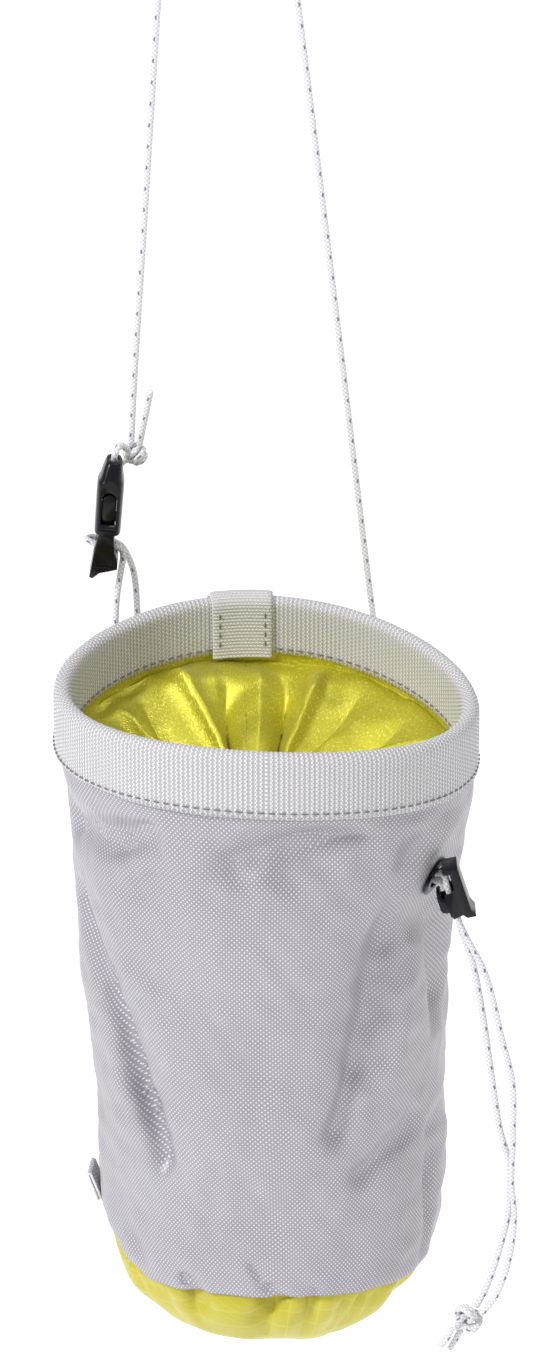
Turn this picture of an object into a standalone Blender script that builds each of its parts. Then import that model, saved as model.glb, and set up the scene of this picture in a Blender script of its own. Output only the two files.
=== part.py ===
"""A climbing chalk bag, hanging open and empty by its waist cord.

Units are metres and degrees, +Z is up, and the front of the bag faces -Y. The shapes are worked out in
the mouth's frame: its origin is the middle of the mouth, level with the mean top of the webbing band.
An empty carries every piece, and puts the world origin at the top of the waist cord's loop.
"""
import math

import bmesh
import bpy
from mathutils import Matrix, Vector

# Driving sizes of the bag
MOUTH_RADIUS = 0.062
BAG_HEIGHT = 0.212
SHELL_WALL = 0.0010
LINING_WALL = 0.0010
WEBBING = 0.0012
GAP = 0.0003
AROUND = 48

# The mouth hangs as a saddle, lower at the right
RIM_MEAN = -0.0020
RIM_SADDLE = 0.0030
RIM_TILT = -0.0028
RIM_FADE_START = 0.020
RIM_FADE_END = 0.095

# The webbing band folded over the mouth's edge
BAND_OUTER_LEG = 0.0195
BAND_INNER_LEG = 0.0178
BAND_SLOT = SHELL_WALL + LINING_WALL + 3 * GAP
BAND_THICKNESS = 2 * WEBBING + BAND_SLOT
PATCH_WIDTH = 0.020
PATCH_AZIMUTH = 187.5
PATCH_EXTRA = 0.0008

SHELL_RADIUS = MOUTH_RADIUS - WEBBING - GAP
LINING_RADIUS = SHELL_RADIUS - SHELL_WALL - GAP - LINING_WALL / 2

# Cross-sections of the bag, top to bottom. Heights are shares of BAG_HEIGHT, the rest of SHELL_RADIUS.
# "square" is the exponent of the superellipse, 2 for a plain ellipse.
# Columns: height, half_width, half_depth, centre_x, centre_y, square
SECTIONS = (
    (0.000, 1.000, 1.000, 0.000, 0.000, 2.00),
    (0.096, 1.000, 1.000, 0.000, 0.000, 2.00),
    (0.160, 0.972, 0.985, 0.008, 0.000, 2.00),
    (0.250, 0.941, 0.945, 0.000, 0.000, 2.05),
    (0.401, 0.904, 0.870, 0.000, 0.004, 2.10),
    (0.529, 0.881, 0.805, 0.005, 0.006, 2.15),
    (0.650, 0.861, 0.755, 0.020, 0.008, 2.15),
    (0.754, 0.850, 0.712, 0.028, 0.008, 2.15),
    (0.825, 0.832, 0.680, 0.033, 0.006, 2.15),
    (0.881, 0.788, 0.645, 0.035, 0.000, 2.10),
    (0.938, 0.668, 0.548, 0.022, -0.004, 2.05),
    (0.984, 0.420, 0.345, 0.006, -0.004, 2.00),
    (1.000, 0.000, 0.000, 0.000, 0.000, 2.00),
)
SHELL_TOP = 0.26
BAND_END = 1.0
SHELL_ROWS = 14
BOTTOM_ROWS = 4

# Where the bottom is sewn on. Columns: azimuth from the front towards +X, and the place in SECTIONS
SEAM_SPLIT = 0.04
SEAM = (
    (0, 8.80),
    (50, 8.85),
    (90, 8.50),
    (130, 7.90),
    (180, 7.00),
    (230, 7.00),
    (258, 7.60),
    (278, 7.75),
    (290, 8.05),
    (299, 8.65),
    (312, 8.85),
)

# Valleys and ridges of the cloth, each along a straight line from one place to another. Azimuths are in
# degrees, heights are shares of BAG_HEIGHT, depths and widths shares of SHELL_RADIUS. A ridge has a
# negative depth. Columns: azimuth_a, height_a, azimuth_b, height_b, depth, half_width
FOLDS = (
    (-80, 0.190, -36, 0.142, 0.070, 0.085),
    (-9, 0.165, 25, 0.108, 0.066, 0.100),
    (-76, 0.310, -58, 0.420, 0.045, 0.080),
    (-58, 0.420, -37, 0.660, 0.062, 0.070),
    (-44, 0.330, -30, 0.480, -0.030, 0.150),
    (48, 0.180, 38, 0.310, 0.070, 0.120),
    (38, 0.310, 30, 0.490, 0.075, 0.140),
    (30, 0.490, 21, 0.600, 0.055, 0.080),
    (48, 0.400, 44, 0.520, -0.025, 0.100),
    (66, 0.330, 72, 0.440, 0.100, 0.130),
    (52, 0.615, 30, 0.680, 0.040, 0.085),
    (66, 0.660, 64, 0.840, 0.030, 0.075),
    (-27, 0.860, -26, 0.900, 0.035, 0.055),
    (2, 0.870, -6, 0.905, 0.028, 0.050),
    (150, 0.300, 172, 0.520, 0.065, 0.130),
    (205, 0.340, 192, 0.620, 0.060, 0.120),
    (232, 0.300, 246, 0.470, 0.055, 0.110),
    (112, 0.420, 126, 0.620, 0.055, 0.110),
    (-100, 0.520, -112, 0.680, 0.040, 0.100),
)

# Gathers of the bottom below its seam
BOTTOM_GATHERS = 13
GATHER_DEPTH = 0.0009
GATHER_FADE = 1.6

# The drawn lining: the middle of its cloth, as shares of NECK_DROP and of the way from the neck to the edge
NECK_RADIUS = 0.0080
NECK_DROP = 0.0425
NECK_X = -0.0032
NECK_Y = 0.0020
# Columns: drop, reach, fold
LINING_ROWS = (
    (0.080, 1.000, 0.00),
    (0.450, 1.000, 0.00),
    (0.486, 0.965, 0.05),
    (0.530, 0.870, 0.35),
    (0.620, 0.710, 0.90),
    (0.720, 0.530, 1.00),
    (0.820, 0.350, 0.90),
    (0.920, 0.165, 0.60),
    (1.000, 0.000, 0.30),
)
# Valleys of the lining. Columns: azimuth, and depth as a share of LINING_FOLD
LINING_FOLD = 0.0036
LINING_FOLDS = (
    (18, 0.9),
    (50, 0.8),
    (80, 1.0),
    (108, 1.0),
    (138, 1.0),
    (158, 0.9),
    (186, 0.6),
    (217, 1.1),
    (243, 1.0),
    (275, 0.8),
    (308, 0.9),
    (345, 0.8),
)
STEPS_PER_FOLD = 4

# The gathered hem at the neck, and the draw cord round it
HEM_HEIGHT = 0.0075
HEM_FLARE = 0.0032
HEM_ROWS = 2
HEM_SIDES = 24

# Cords
CORD_DIAMETER = 0.0020
CORD_RADIUS = CORD_DIAMETER / 2
CORD_PAIR = CORD_DIAMETER + GAP
BEND_WEIGHT = 0.012
FINE_STEPS = 24

# The eyelet: azimuth on the bag, its place in SECTIONS, and where its face looks
EYELET_AZIMUTH = 59.5
EYELET_SECTION = 2.76
EYELET_FACING = 63.0
EYELET_DIP = 20.0
EYELET_SUNK = 0.0018
EYELET_FLANGE_RADIUS = 0.0062
EYELET_BARREL_RADIUS = 0.0042
EYELET_BORE_RADIUS = 0.0033
EYELET_FLANGE = 0.0009
EYELET_SEAT = 0.0005
EYELET_FLAT_RADIUS = 0.0120
EYELET_FLAT_FADE = 0.0100
EYELET_SIDES = 16

# The cord lock, in its own axes: u away from the bag, v along +Y, w up along the cord
LOCK_REACH = Vector((0.0052, -0.0082, -0.0041))
LOCK_LEAN = 17.0
LOCK_HALF_DEPTH = 0.0046
LOCK_BACK = 0.0048
LOCK_TOP = 0.0112
LOCK_FOOT = -0.0038
BUTTON_TRAVEL = 0.0012
BUTTON_BAR = 0.0010
BUTTON_HEAD = 0.0012
BUTTON_TOP = 0.0040
BUTTON_SIDE_TOP = 0.0021
BUTTON_FOOT = -0.0023
LOCK_BEVEL = 0.0004

# The side-release clip, in its own axes: u to the right, v along +Y, w up along the clip
CLIP_CENTRE = Vector((-0.0472, 0.0500, 0.0264))
CLIP_LEAN = 4.5
SOCKET_LENGTH = 0.0218
SOCKET_HALF_WIDTH = 0.0039
SOCKET_HALF_DEPTH = 0.0066
SOCKET_WALL = 0.0013
PRONG_LENGTH = 0.0125
PRONG_HALF_WIDTH = 0.0019
EYE_RADIUS = 0.0017
CLIP_BEVEL = 0.0005

# The sleeve on the back that the waist cord runs through
SLEEVE_AZIMUTH = 180.0
SLEEVE_HALF_ANGLE = 29.0
SLEEVE_TOP_SECTION = 1.32
SLEEVE_FOOT_SECTION = 2.62
SLEEVE_CHANNEL = CORD_DIAMETER + 2 * GAP
SLEEVE_WALL = 0.0010

# The folded webbing tab in the bottom seam
TAB_WIDTH = 0.010
TAB_LENGTH = 0.0096
TAB_THICKNESS = 0.0008
TAB_SPLIT = 0.0003
TAB_AZIMUTH = 265.0
TAB_SECTION = 7.80
TAB_LEAN = 20.0

# Knots
WAIST_KNOT = Vector((-0.0394, 0.0562, 0.0468))
WAIST_KNOT_SIZE = Vector((0.0036, 0.0034, 0.0034))
DRAW_KNOT = Vector((0.0062, 0.0000, -0.1375))
DRAW_KNOT_SIZE = Vector((0.0048, 0.0034, 0.0032))

# Top of the waist cord's loop: the world origin
HANG_POINT = Vector((-0.0126, 0.0530, 0.2580))

# Waist cord's routes, chosen by hand, in the mouth's frame
WAIST_ROUTE = (
    (-0.0401, 0.0556, 0.0508),
    (-0.0387, 0.0540, 0.0750),
    (-0.0354, 0.0530, 0.1220),
    (-0.0310, 0.0525, 0.1865),
    (-0.0274, 0.0528, 0.2380),
    (-0.0266, 0.0530, 0.2460),
    (-0.0222, 0.0530, 0.2545),
    (-0.0126, 0.0530, 0.2580),
    (-0.0030, 0.0530, 0.2543),
    (0.0014, 0.0532, 0.2450),
    (0.0024, 0.0538, 0.2370),
    (0.0089, 0.0555, 0.1855),
    (0.0201, 0.0570, 0.0939),
    (0.0317, 0.0572, -0.0022),
    (0.0336, 0.0562, -0.0160),
    (0.0346, 0.0544, -0.0245),
    (0.0335, 0.0528, -0.0300),
)
SLEEVE_UPPER_SECTION = 1.85
SLEEVE_LOWER_SECTION = 2.12
SLEEVE_SPLIT = 0.3
SLEEVE_REACH = 3.5
CLIP_ROUTE = (
    (-0.0322, 0.0517, -0.0353),
    (-0.0380, 0.0486, -0.0340),
    (-0.0428, 0.0462, -0.0280),
    (-0.0446, 0.0466, -0.0190),
    (-0.0452, 0.0478, -0.0080),
    (-0.0446, 0.0490, 0.0050),
    (-0.0432, 0.0506, 0.0135),
    (-0.0427, 0.0513, 0.0165),
    (-0.0430, 0.0515, 0.0185),
    (-0.0445, 0.0515, 0.0196),
    (-0.0475, 0.0515, 0.0200),
    (-0.0512, 0.0515, 0.0208),
    (-0.0530, 0.0526, 0.0213),
    (-0.0533, 0.0548, 0.0212),
    (-0.0515, 0.0567, 0.0208),
    (-0.0475, 0.0572, 0.0198),
    (-0.0435, 0.0568, 0.0180),
    (-0.0412, 0.0558, 0.0145),
    (-0.0396, 0.0548, 0.0095),
    (-0.0388, 0.0542, -0.0008),
    (-0.0386, 0.0534, -0.0120),
    (-0.0382, 0.0518, -0.0220),
    (-0.0366, 0.0512, -0.0280),
    (-0.0332, 0.0520, -0.0306),
)
WAIST_EYE_ROUTE = (
    (-0.0419, 0.0542, 0.0502),
    (-0.0434, 0.0518, 0.0515),
    (-0.0446, 0.0497, 0.0500),
    (-0.0451, 0.0504, 0.0477),
    (-0.0453, 0.0530, 0.0451),
    (-0.0455, 0.0562, 0.0419),
    (-0.0453, 0.0584, 0.0407),
    (-0.0441, 0.0594, 0.0417),
    (-0.0428, 0.0590, 0.0438),
)
WAIST_TAIL_ROUTE = (
    (-0.0376, 0.0552, 0.0506),
    (-0.0366, 0.0540, 0.0560),
    (-0.0352, 0.0530, 0.0630),
    (-0.0341, 0.0524, 0.0685),
)
# Draw cord's routes, chosen by hand, from the lock's centre
DRAW_RIGHT_ROUTE = (
    (0.0004, -0.00115, -0.0012),
    (0.0018, -0.00115, -0.0058),
    (0.0045, -0.00115, -0.0118),
    (0.0099, -0.0012, -0.0230),
    (0.0152, -0.0012, -0.0443),
    (0.0184, -0.0012, -0.0581),
    (0.0189, -0.0012, -0.0766),
    (0.0187, -0.0012, -0.0905),
    (0.0198, -0.0012, -0.1033),
    (0.0180, -0.0012, -0.1188),
    (0.0146, -0.00115, -0.1293),
    (0.0105, -0.00115, -0.1352),
)
DRAW_LEFT_ROUTE = (
    (0.0004, 0.00115, -0.0012),
    (0.0017, 0.00115, -0.0058),
    (0.0033, 0.00115, -0.0115),
    (0.0062, 0.0012, -0.0200),
    (0.0096, 0.0012, -0.0377),
    (0.0119, 0.0012, -0.0535),
    (0.0151, 0.0012, -0.0743),
    (0.0180, 0.0012, -0.0860),
    (0.0183, 0.0012, -0.1009),
    (0.0156, 0.0012, -0.1151),
    (0.0119, 0.00115, -0.1278),
    (0.0091, 0.00115, -0.1340),
)
DRAW_TAIL_LEFT_ROUTE = (
    (0.0019, -0.0008, -0.1401),
    (0.0007, -0.0012, -0.1429),
    (-0.0015, -0.0014, -0.1460),
)
DRAW_TAIL_RIGHT_ROUTE = (
    (0.0047, 0.0008, -0.1417),
    (0.0033, 0.0012, -0.1447),
    (0.0014, 0.0014, -0.1485),
)
# Hidden stretch: from the lock up and back to the eyelet, and how deep the cord runs round the hem
DRAW_LEAD_ROUTE = (
    (0.0003, 0.0000, -0.0009),
    (-0.0007, 0.0000, 0.0024),
    (-0.0013, 0.0003, 0.0043),
    (-0.0016, 0.0016, 0.0054),
    (-0.0018, 0.0034, 0.0056),
    (-0.0021, 0.0052, 0.0050),
)
DRAW_INNER_DROP = 0.0462


def table_row(table, place):
    """Values of a table at a fractional row, on a smooth curve through its rows."""
    last = len(table) - 1
    row = min(int(place), last - 1)
    share = place - row
    before = table[max(row - 1, 0)]
    start = table[row]
    end = table[row + 1]
    after = table[min(row + 2, last)]
    values = []
    for a, b, c, d in zip(before, start, end, after):
        slope_b = (c - a) / 2
        slope_c = (d - b) / 2
        values.append(
            b * (1 + 2 * share) * (1 - share) ** 2
            + slope_b * share * (1 - share) ** 2
            + c * share * share * (3 - 2 * share)
            - slope_c * share * share * (1 - share)
        )
    return values


def ring_value(table, azimuth):
    """Second column of a table of azimuths, eased between its rows, right round the bag."""
    azimuth = azimuth % 360
    for index, (here, value) in enumerate(table):
        following, next_value = table[(index + 1) % len(table)]
        span = (following - here) % 360
        ahead = (azimuth - here) % 360
        if ahead < span:
            share = smooth_step(ahead / span)
            return value + (next_value - value) * share
    return table[0][1]


def smooth_step(share):
    """0 below 0, 1 above 1, and an even curve between."""
    share = max(0.0, min(1.0, share))
    return share * share * (3 - 2 * share)


def signed_power(value, power):
    return math.copysign(abs(value) ** power, value)


def rim_height(azimuth):
    """Height of the mouth's edge over its mean."""
    angle = math.radians(azimuth)
    return RIM_MEAN + RIM_SADDLE * math.cos(2 * angle) + RIM_TILT * math.sin(angle)


def rim_share(drop):
    """How much of the mouth's saddle is left at a depth below the mouth."""
    return 1 - smooth_step((drop - RIM_FADE_START) / (RIM_FADE_END - RIM_FADE_START))


def fold_depth(azimuth, height):
    """How far the cloth is pushed in by the folds at a place of the bag."""
    total = 0.0
    for azimuth_a, height_a, azimuth_b, height_b, depth, half_width in FOLDS:
        away = (azimuth - azimuth_a + 180) % 360 - 180
        line = azimuth_b - azimuth_a
        across = math.radians(away) * SHELL_RADIUS
        along_across = math.radians(line) * SHELL_RADIUS
        down = (height - height_a) * BAG_HEIGHT
        along_down = (height_b - height_a) * BAG_HEIGHT
        length_squared = along_across ** 2 + along_down ** 2
        share = max(0.0, min(1.0, (across * along_across + down * along_down) / length_squared))
        distance = math.hypot(across - share * along_across, down - share * along_down)
        total += depth * SHELL_RADIUS * math.exp(-((distance / (half_width * SHELL_RADIUS)) ** 2))
    return total


def plain_bag_point(azimuth, section):
    """A point of the bag's outer face before the eyelet pulls it flat."""
    height, half_width, half_depth, centre_x, centre_y, square = table_row(SECTIONS, section)
    angle = math.radians(azimuth)
    side = signed_power(math.sin(angle), 2 / square)
    front = signed_power(math.cos(angle), 2 / square)
    drop = height * BAG_HEIGHT
    inward = fold_depth(azimuth, height) * min(1.0, half_width * 1.5)
    inward *= smooth_step((section - BAND_END) / 0.5)
    point = Vector((
        centre_x * SHELL_RADIUS + side * half_width * SHELL_RADIUS - math.sin(angle) * inward,
        centre_y * SHELL_RADIUS - front * half_depth * SHELL_RADIUS + math.cos(angle) * inward,
        rim_height(azimuth) * rim_share(drop) - drop,
    ))
    return point


def eyelet_axis():
    """The way the eyelet's face looks."""
    facing = math.radians(EYELET_FACING)
    dip = math.radians(EYELET_DIP)
    return Vector((
        math.sin(facing) * math.cos(dip),
        -math.cos(facing) * math.cos(dip),
        -math.sin(dip),
    ))


def eyelet_centre():
    """Where the eyelet sits, on the outer face of the cloth."""
    return plain_bag_point(EYELET_AZIMUTH, EYELET_SECTION) - eyelet_axis() * EYELET_SUNK


def lock_centre():
    """Middle of the cord lock, where its cords hang from the eyelet."""
    return eyelet_centre() + LOCK_REACH


def from_lock(route):
    """A route given from the lock's centre, in the mouth's frame."""
    centre = lock_centre()
    return [centre + Vector(point) for point in route]


def bag_point(azimuth, section):
    """A point of the bag's outer face, flat round the eyelet."""
    point = plain_bag_point(azimuth, section)
    centre = eyelet_centre()
    distance = (point - centre).length
    share = 1 - smooth_step((distance - EYELET_FLAT_RADIUS) / EYELET_FLAT_FADE)
    if share <= 0:
        return point
    axis = eyelet_axis()
    return point - axis * ((point - centre).dot(axis)) * share


def bag_normal(azimuth, section):
    """Outward direction of the bag's face, from points close by."""
    last = len(SECTIONS) - 1
    if section > last - 0.02:
        return Vector((0, 0, -1))
    across = bag_point(azimuth + 1.0, section) - bag_point(azimuth - 1.0, section)
    down = bag_point(azimuth, min(section + 0.04, last)) - bag_point(azimuth, max(section - 0.04, 0))
    return down.cross(across).normalized()


def bag_offset(azimuth, section, distance):
    """A point off the bag's face, outward when the distance is positive."""
    return bag_point(azimuth, section) + bag_normal(azimuth, section) * distance


def seam_section(azimuth):
    return ring_value(SEAM, azimuth)


def material(name, colour, roughness, metallic=0.0):
    made = bpy.data.materials.new(name)
    made.use_nodes = True
    shader = made.node_tree.nodes["Principled BSDF"]
    shader.inputs["Base Color"].default_value = (*colour, 1.0)
    shader.inputs["Roughness"].default_value = roughness
    shader.inputs["Metallic"].default_value = metallic
    made.diffuse_color = (*colour, 1.0)
    return made


def place(made, paint):
    """Link an object into the scene, on the empty that carries the bag."""
    bpy.context.scene.collection.objects.link(made)
    made.parent = carrier
    made.data.materials.append(paint)
    return made


def mesh_object(name, points, faces, paint, smooth=True):
    """A closed mesh with its faces turned outward."""
    mesh = bpy.data.meshes.new(name)
    mesh.from_pydata([tuple(point) for point in points], [], faces)
    work = bmesh.new()
    work.from_mesh(mesh)
    bmesh.ops.recalc_face_normals(work, faces=work.faces)
    work.to_mesh(mesh)
    work.free()
    if smooth:
        mesh.shade_smooth()
        mesh.set_sharp_from_angle(angle=math.radians(50))
    return place(bpy.data.objects.new(name, mesh), paint)


def looped_skin(name, rings, paint, smooth=True):
    """A solid from closed rings of points, each joined to the next and the last to the first."""
    count = len(rings[0])
    points = [point for ring in rings for point in ring]
    faces = []
    for row in range(len(rings)):
        upper = row * count
        lower = (row + 1) % len(rings) * count
        for step in range(count):
            after = (step + 1) % count
            faces.append((lower + step, lower + after, upper + after, upper + step))
    return mesh_object(name, points, faces, paint, smooth)


def dish_skin(name, outer, inner, outer_centre, inner_centre, paint):
    """A dish from outer and inner rings, top to bottom, each closed by a centre point."""
    count = len(outer[0])
    rings = list(reversed(inner)) + list(outer)
    points = [point for ring in rings for point in ring]
    faces = []
    for row in range(len(rings) - 1):
        for step in range(count):
            after = (step + 1) % count
            upper = row * count
            lower = upper + count
            faces.append((lower + step, lower + after, upper + after, upper + step))
    points.append(inner_centre)
    points.append(outer_centre)
    for step in range(count):
        after = (step + 1) % count
        faces.append((step, after, len(points) - 2))
        faces.append((len(rings) * count - count + after, len(rings) * count - count + step, len(points) - 1))
    return mesh_object(name, points, faces, paint)


def sheet_skin(name, rows, paint):
    """A solid strip from rows of closed profiles, with flat ends."""
    count = len(rows[0])
    points = [point for row in rows for point in row]
    faces = []
    for row in range(len(rows) - 1):
        upper = row * count
        lower = upper + count
        for step in range(count):
            after = (step + 1) % count
            faces.append((lower + step, lower + after, upper + after, upper + step))
    faces.append(tuple(range(count)))
    last = (len(rows) - 1) * count
    faces.append(tuple(last + step for step in reversed(range(count))))
    return mesh_object(name, points, faces, paint)


def smooth_route(route):
    """Close points on one smooth curve through the route's points."""
    points = [Vector(point) for point in route]
    ends = [2 * points[0] - points[1]] + points + [2 * points[-1] - points[-2]]
    close = []
    for index in range(1, len(ends) - 2):
        a, b, c, d = ends[index - 1:index + 3]
        span_ab = max((b - a).length, 1e-6) ** 0.5
        span_bc = max((c - b).length, 1e-6) ** 0.5
        span_cd = max((d - c).length, 1e-6) ** 0.5
        slope_b = (b - a) / span_ab - (c - a) / (span_ab + span_bc) + (c - b) / span_bc
        slope_c = (c - b) / span_bc - (d - b) / (span_bc + span_cd) + (d - c) / span_cd
        for step in range(FINE_STEPS):
            t = step / FINE_STEPS
            close.append(
                b * (1 + 2 * t) * (1 - t) ** 2
                + slope_b * span_bc * t * (1 - t) ** 2
                + c * t * t * (3 - 2 * t)
                - slope_c * span_bc * t * t * (1 - t)
            )
    close.append(points[-1])
    return close


def spaced_points(route, count):
    """Points along a route, closer together where it bends."""
    close = smooth_route(route)
    cost = [0.0]
    for index in range(1, len(close)):
        step = close[index] - close[index - 1]
        turn = 0.0
        if 1 < index:
            turn = step.angle(close[index - 1] - close[index - 2], 0.0)
        cost.append(cost[-1] + step.length + BEND_WEIGHT * turn)
    chosen = []
    place_at = 0
    for number in range(count):
        wanted = cost[-1] * number / (count - 1)
        while place_at < len(cost) - 2 and cost[place_at + 1] < wanted:
            place_at += 1
        share = (wanted - cost[place_at]) / (cost[place_at + 1] - cost[place_at])
        chosen.append(close[place_at].lerp(close[place_at + 1], min(1.0, share)))
    return chosen


def cord(name, route, count, paint):
    """A round cord along a route, as one tube with flat ends."""
    curve = bpy.data.curves.new(name, "CURVE")
    curve.dimensions = "3D"
    curve.bevel_depth = CORD_RADIUS
    curve.bevel_resolution = 2
    curve.use_fill_caps = True
    spline = curve.splines.new("POLY")
    points = spaced_points(route, count)
    spline.points.add(len(points) - 1)
    for spot, point in zip(spline.points, points):
        spot.co = (*point, 1.0)
    return place(bpy.data.objects.new(name, curve), paint)


def knot(name, centre, size, lean, paint):
    """An overhand knot's outer form: a lump with three turns wound round it."""
    sides = 12
    rings = 6
    turn = Matrix.Rotation(math.radians(lean), 3, "Y")
    points = [centre + turn @ Vector((0, 0, size.z))]
    for ring in range(1, rings):
        polar = math.pi * ring / rings
        for side in range(sides):
            around = 2 * math.pi * side / sides
            swell = 1 + 0.10 * math.cos(2 * around + 4 * polar)
            point = Vector((
                size.x * math.sin(polar) * math.cos(around) * swell,
                size.y * math.sin(polar) * math.sin(around) * swell,
                size.z * math.cos(polar),
            ))
            points.append(centre + turn @ point)
    points.append(centre - turn @ Vector((0, 0, size.z)))
    faces = []
    for side in range(sides):
        after = (side + 1) % sides
        faces.append((0, 1 + side, 1 + after))
        for ring in range(rings - 2):
            upper = 1 + ring * sides
            lower = upper + sides
            faces.append((upper + side, lower + side, lower + after, upper + after))
        last = 1 + (rings - 2) * sides
        faces.append((len(points) - 1, last + after, last + side))
    return mesh_object(name, points, faces, paint)


def extruded(name, outline, half_depth, paint, centre_depth=0.0):
    """A solid from an outline in u and w, as deep in v as stated, in the axes of its clip or lock."""
    front = [Vector((u, centre_depth - half_depth, w)) for u, w in outline]
    back = [Vector((u, centre_depth + half_depth, w)) for u, w in outline]
    return sheet_skin(name, (front, back), paint)


def box_cutter(name, low, high):
    """A hidden box that cuts its neighbours, from its low corner to its high corner."""
    outline = ((low[0], low[2]), (high[0], low[2]), (high[0], high[2]), (low[0], high[2]))
    half_depth = (high[1] - low[1]) / 2
    made = extruded(name, outline, half_depth, cutter_paint, (high[1] + low[1]) / 2)
    return hide_cutter(made)


def rod_cutter(name, start, end, radius, sides=12):
    """A hidden round rod from start to end."""
    axis = (end - start).normalized()
    side = axis.orthogonal().normalized()
    other = axis.cross(side)
    rows = []
    for centre in (start, end):
        ring = []
        for step in range(sides):
            angle = 2 * math.pi * step / sides
            ring.append(centre + (side * math.cos(angle) + other * math.sin(angle)) * radius)
        rows.append(ring)
    return hide_cutter(sheet_skin(name, rows, cutter_paint))


def hide_cutter(made):
    made.hide_render = True
    made.display_type = "WIRE"
    return made


def boolean(target, other, operation):
    step = target.modifiers.new(other.name, "BOOLEAN")
    step.operation = operation
    step.solver = "EXACT"
    step.object = other


def bevel(target, width, segments=1):
    step = target.modifiers.new("Bevel", "BEVEL")
    step.width = width
    step.segments = segments
    step.limit_method = "ANGLE"
    step.angle_limit = math.radians(40)


def lean_matrix(centre, degrees):
    """Axes of a piece that hangs at a lean: its foot swings towards +X for a positive lean."""
    return Matrix.Translation(centre) @ Matrix.Rotation(math.radians(-degrees), 4, "Y")


def set_axes(pieces, axes):
    for piece in pieces:
        piece.matrix_local = axes


def build_shell():
    """Grey cloth body, from inside the band down to the bottom's seam."""
    outer = []
    inner = []
    for row in range(-1, SHELL_ROWS + 1):
        outer_ring = []
        inner_ring = []
        for step in range(AROUND):
            azimuth = 360 * step / AROUND
            end = seam_section(azimuth) - SEAM_SPLIT / 2
            section = BAND_END + (end - BAND_END) * (row / SHELL_ROWS) if row >= 0 else SHELL_TOP
            outer_ring.append(bag_point(azimuth, section))
            inner_ring.append(bag_offset(azimuth, section, -SHELL_WALL))
        outer.append(outer_ring)
        inner.append(inner_ring)
    shell = looped_skin("shell", outer + list(reversed(inner)), shell_paint)
    axis = eyelet_axis()
    centre = eyelet_centre()
    reach = 3 * EYELET_FLANGE_RADIUS / 2
    hole_radius = EYELET_BARREL_RADIUS + GAP
    hole = rod_cutter("shell_hole", centre - axis * reach, centre + axis * reach, hole_radius, EYELET_SIDES)
    boolean(shell, hole, "DIFFERENCE")
    return shell


def build_bottom():
    """Yellow-green bottom, gathered along the seam into a shallow dish."""
    last = len(SECTIONS) - 1
    outer = []
    inner = []
    for row in range(BOTTOM_ROWS + 1):
        outer_ring = []
        inner_ring = []
        for step in range(AROUND):
            azimuth = 360 * step / AROUND
            start = seam_section(azimuth) + SEAM_SPLIT / 2
            share = row / (BOTTOM_ROWS + 1)
            section = start + (last - start) * share
            depth = GATHER_DEPTH * math.sin(math.radians(azimuth) * BOTTOM_GATHERS)
            depth *= math.sin(math.pi * min(1.0, share * GATHER_FADE))
            outer_ring.append(bag_offset(azimuth, section, -abs(depth)))
            inner_ring.append(bag_offset(azimuth, section, -abs(depth) - SHELL_WALL))
        outer.append(outer_ring)
        inner.append(inner_ring)
    foot = bag_point(0, last)
    inner_foot = foot + Vector((0, 0, SHELL_WALL))
    return dish_skin("bottom", outer, inner, foot, inner_foot, bottom_paint)


def band_outline(extra, legs):
    """Half-open loop of webbing over the mouth's edge: pairs of inward depth and height."""
    top_radius = BAND_THICKNESS / 2 + extra
    slot_radius = top_radius - WEBBING
    middle = BAND_THICKNESS / 2
    crown = -BAND_THICKNESS / 2
    outline = [(middle - top_radius, -legs[0])]
    for degrees in (0, 45, 90, 135, 180):
        angle = math.radians(degrees)
        outline.append((middle - math.cos(angle) * top_radius, crown + math.sin(angle) * top_radius))
    outline.append((middle + top_radius, -legs[1]))
    outline.append((middle + slot_radius, -legs[1]))
    for degrees in (180, 135, 90, 45, 0):
        angle = math.radians(degrees)
        outline.append((middle - math.cos(angle) * slot_radius, crown + math.sin(angle) * slot_radius))
    outline.append((middle - slot_radius, -legs[0]))
    return outline


def band_point(azimuth, depth, height):
    angle = math.radians(azimuth)
    radius = MOUTH_RADIUS - depth
    return Vector((radius * math.sin(angle), -radius * math.cos(angle), rim_height(azimuth) + height))


def build_band():
    """Webbing folded over the mouth's edge, and the patch over its joint."""
    outline = band_outline(0.0, (BAND_OUTER_LEG, BAND_INNER_LEG))
    rings = []
    for depth, height in outline:
        rings.append([band_point(360 * step / AROUND, depth, height) for step in range(AROUND)])
    band = looped_skin("rim_binding", rings, band_paint)
    legs = (BAND_OUTER_LEG + PATCH_EXTRA, BAND_INNER_LEG + PATCH_EXTRA)
    patch_outline = band_outline(WEBBING + GAP, legs)
    half_angle = math.degrees(PATCH_WIDTH / 2 / MOUTH_RADIUS)
    steps = 4
    rows = []
    for step in range(steps + 1):
        azimuth = PATCH_AZIMUTH + half_angle * (2 * step / steps - 1)
        rows.append([band_point(azimuth, depth, height) for depth, height in patch_outline])
    patch = sheet_skin("rim_patch", rows, patch_paint)
    return band, patch


def lining_azimuths():
    """Azimuths of the lining's columns, and how deep its folds are there."""
    columns = []
    for index, (azimuth, depth) in enumerate(LINING_FOLDS):
        following, next_depth = LINING_FOLDS[(index + 1) % len(LINING_FOLDS)]
        span = (following - azimuth) % 360
        for step in range(STEPS_PER_FOLD):
            share = step / STEPS_PER_FOLD
            valley = depth + (next_depth - depth) * share
            wave = valley * math.cos(2 * math.pi * share)
            columns.append((azimuth + span * share, wave))
    return columns


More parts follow.
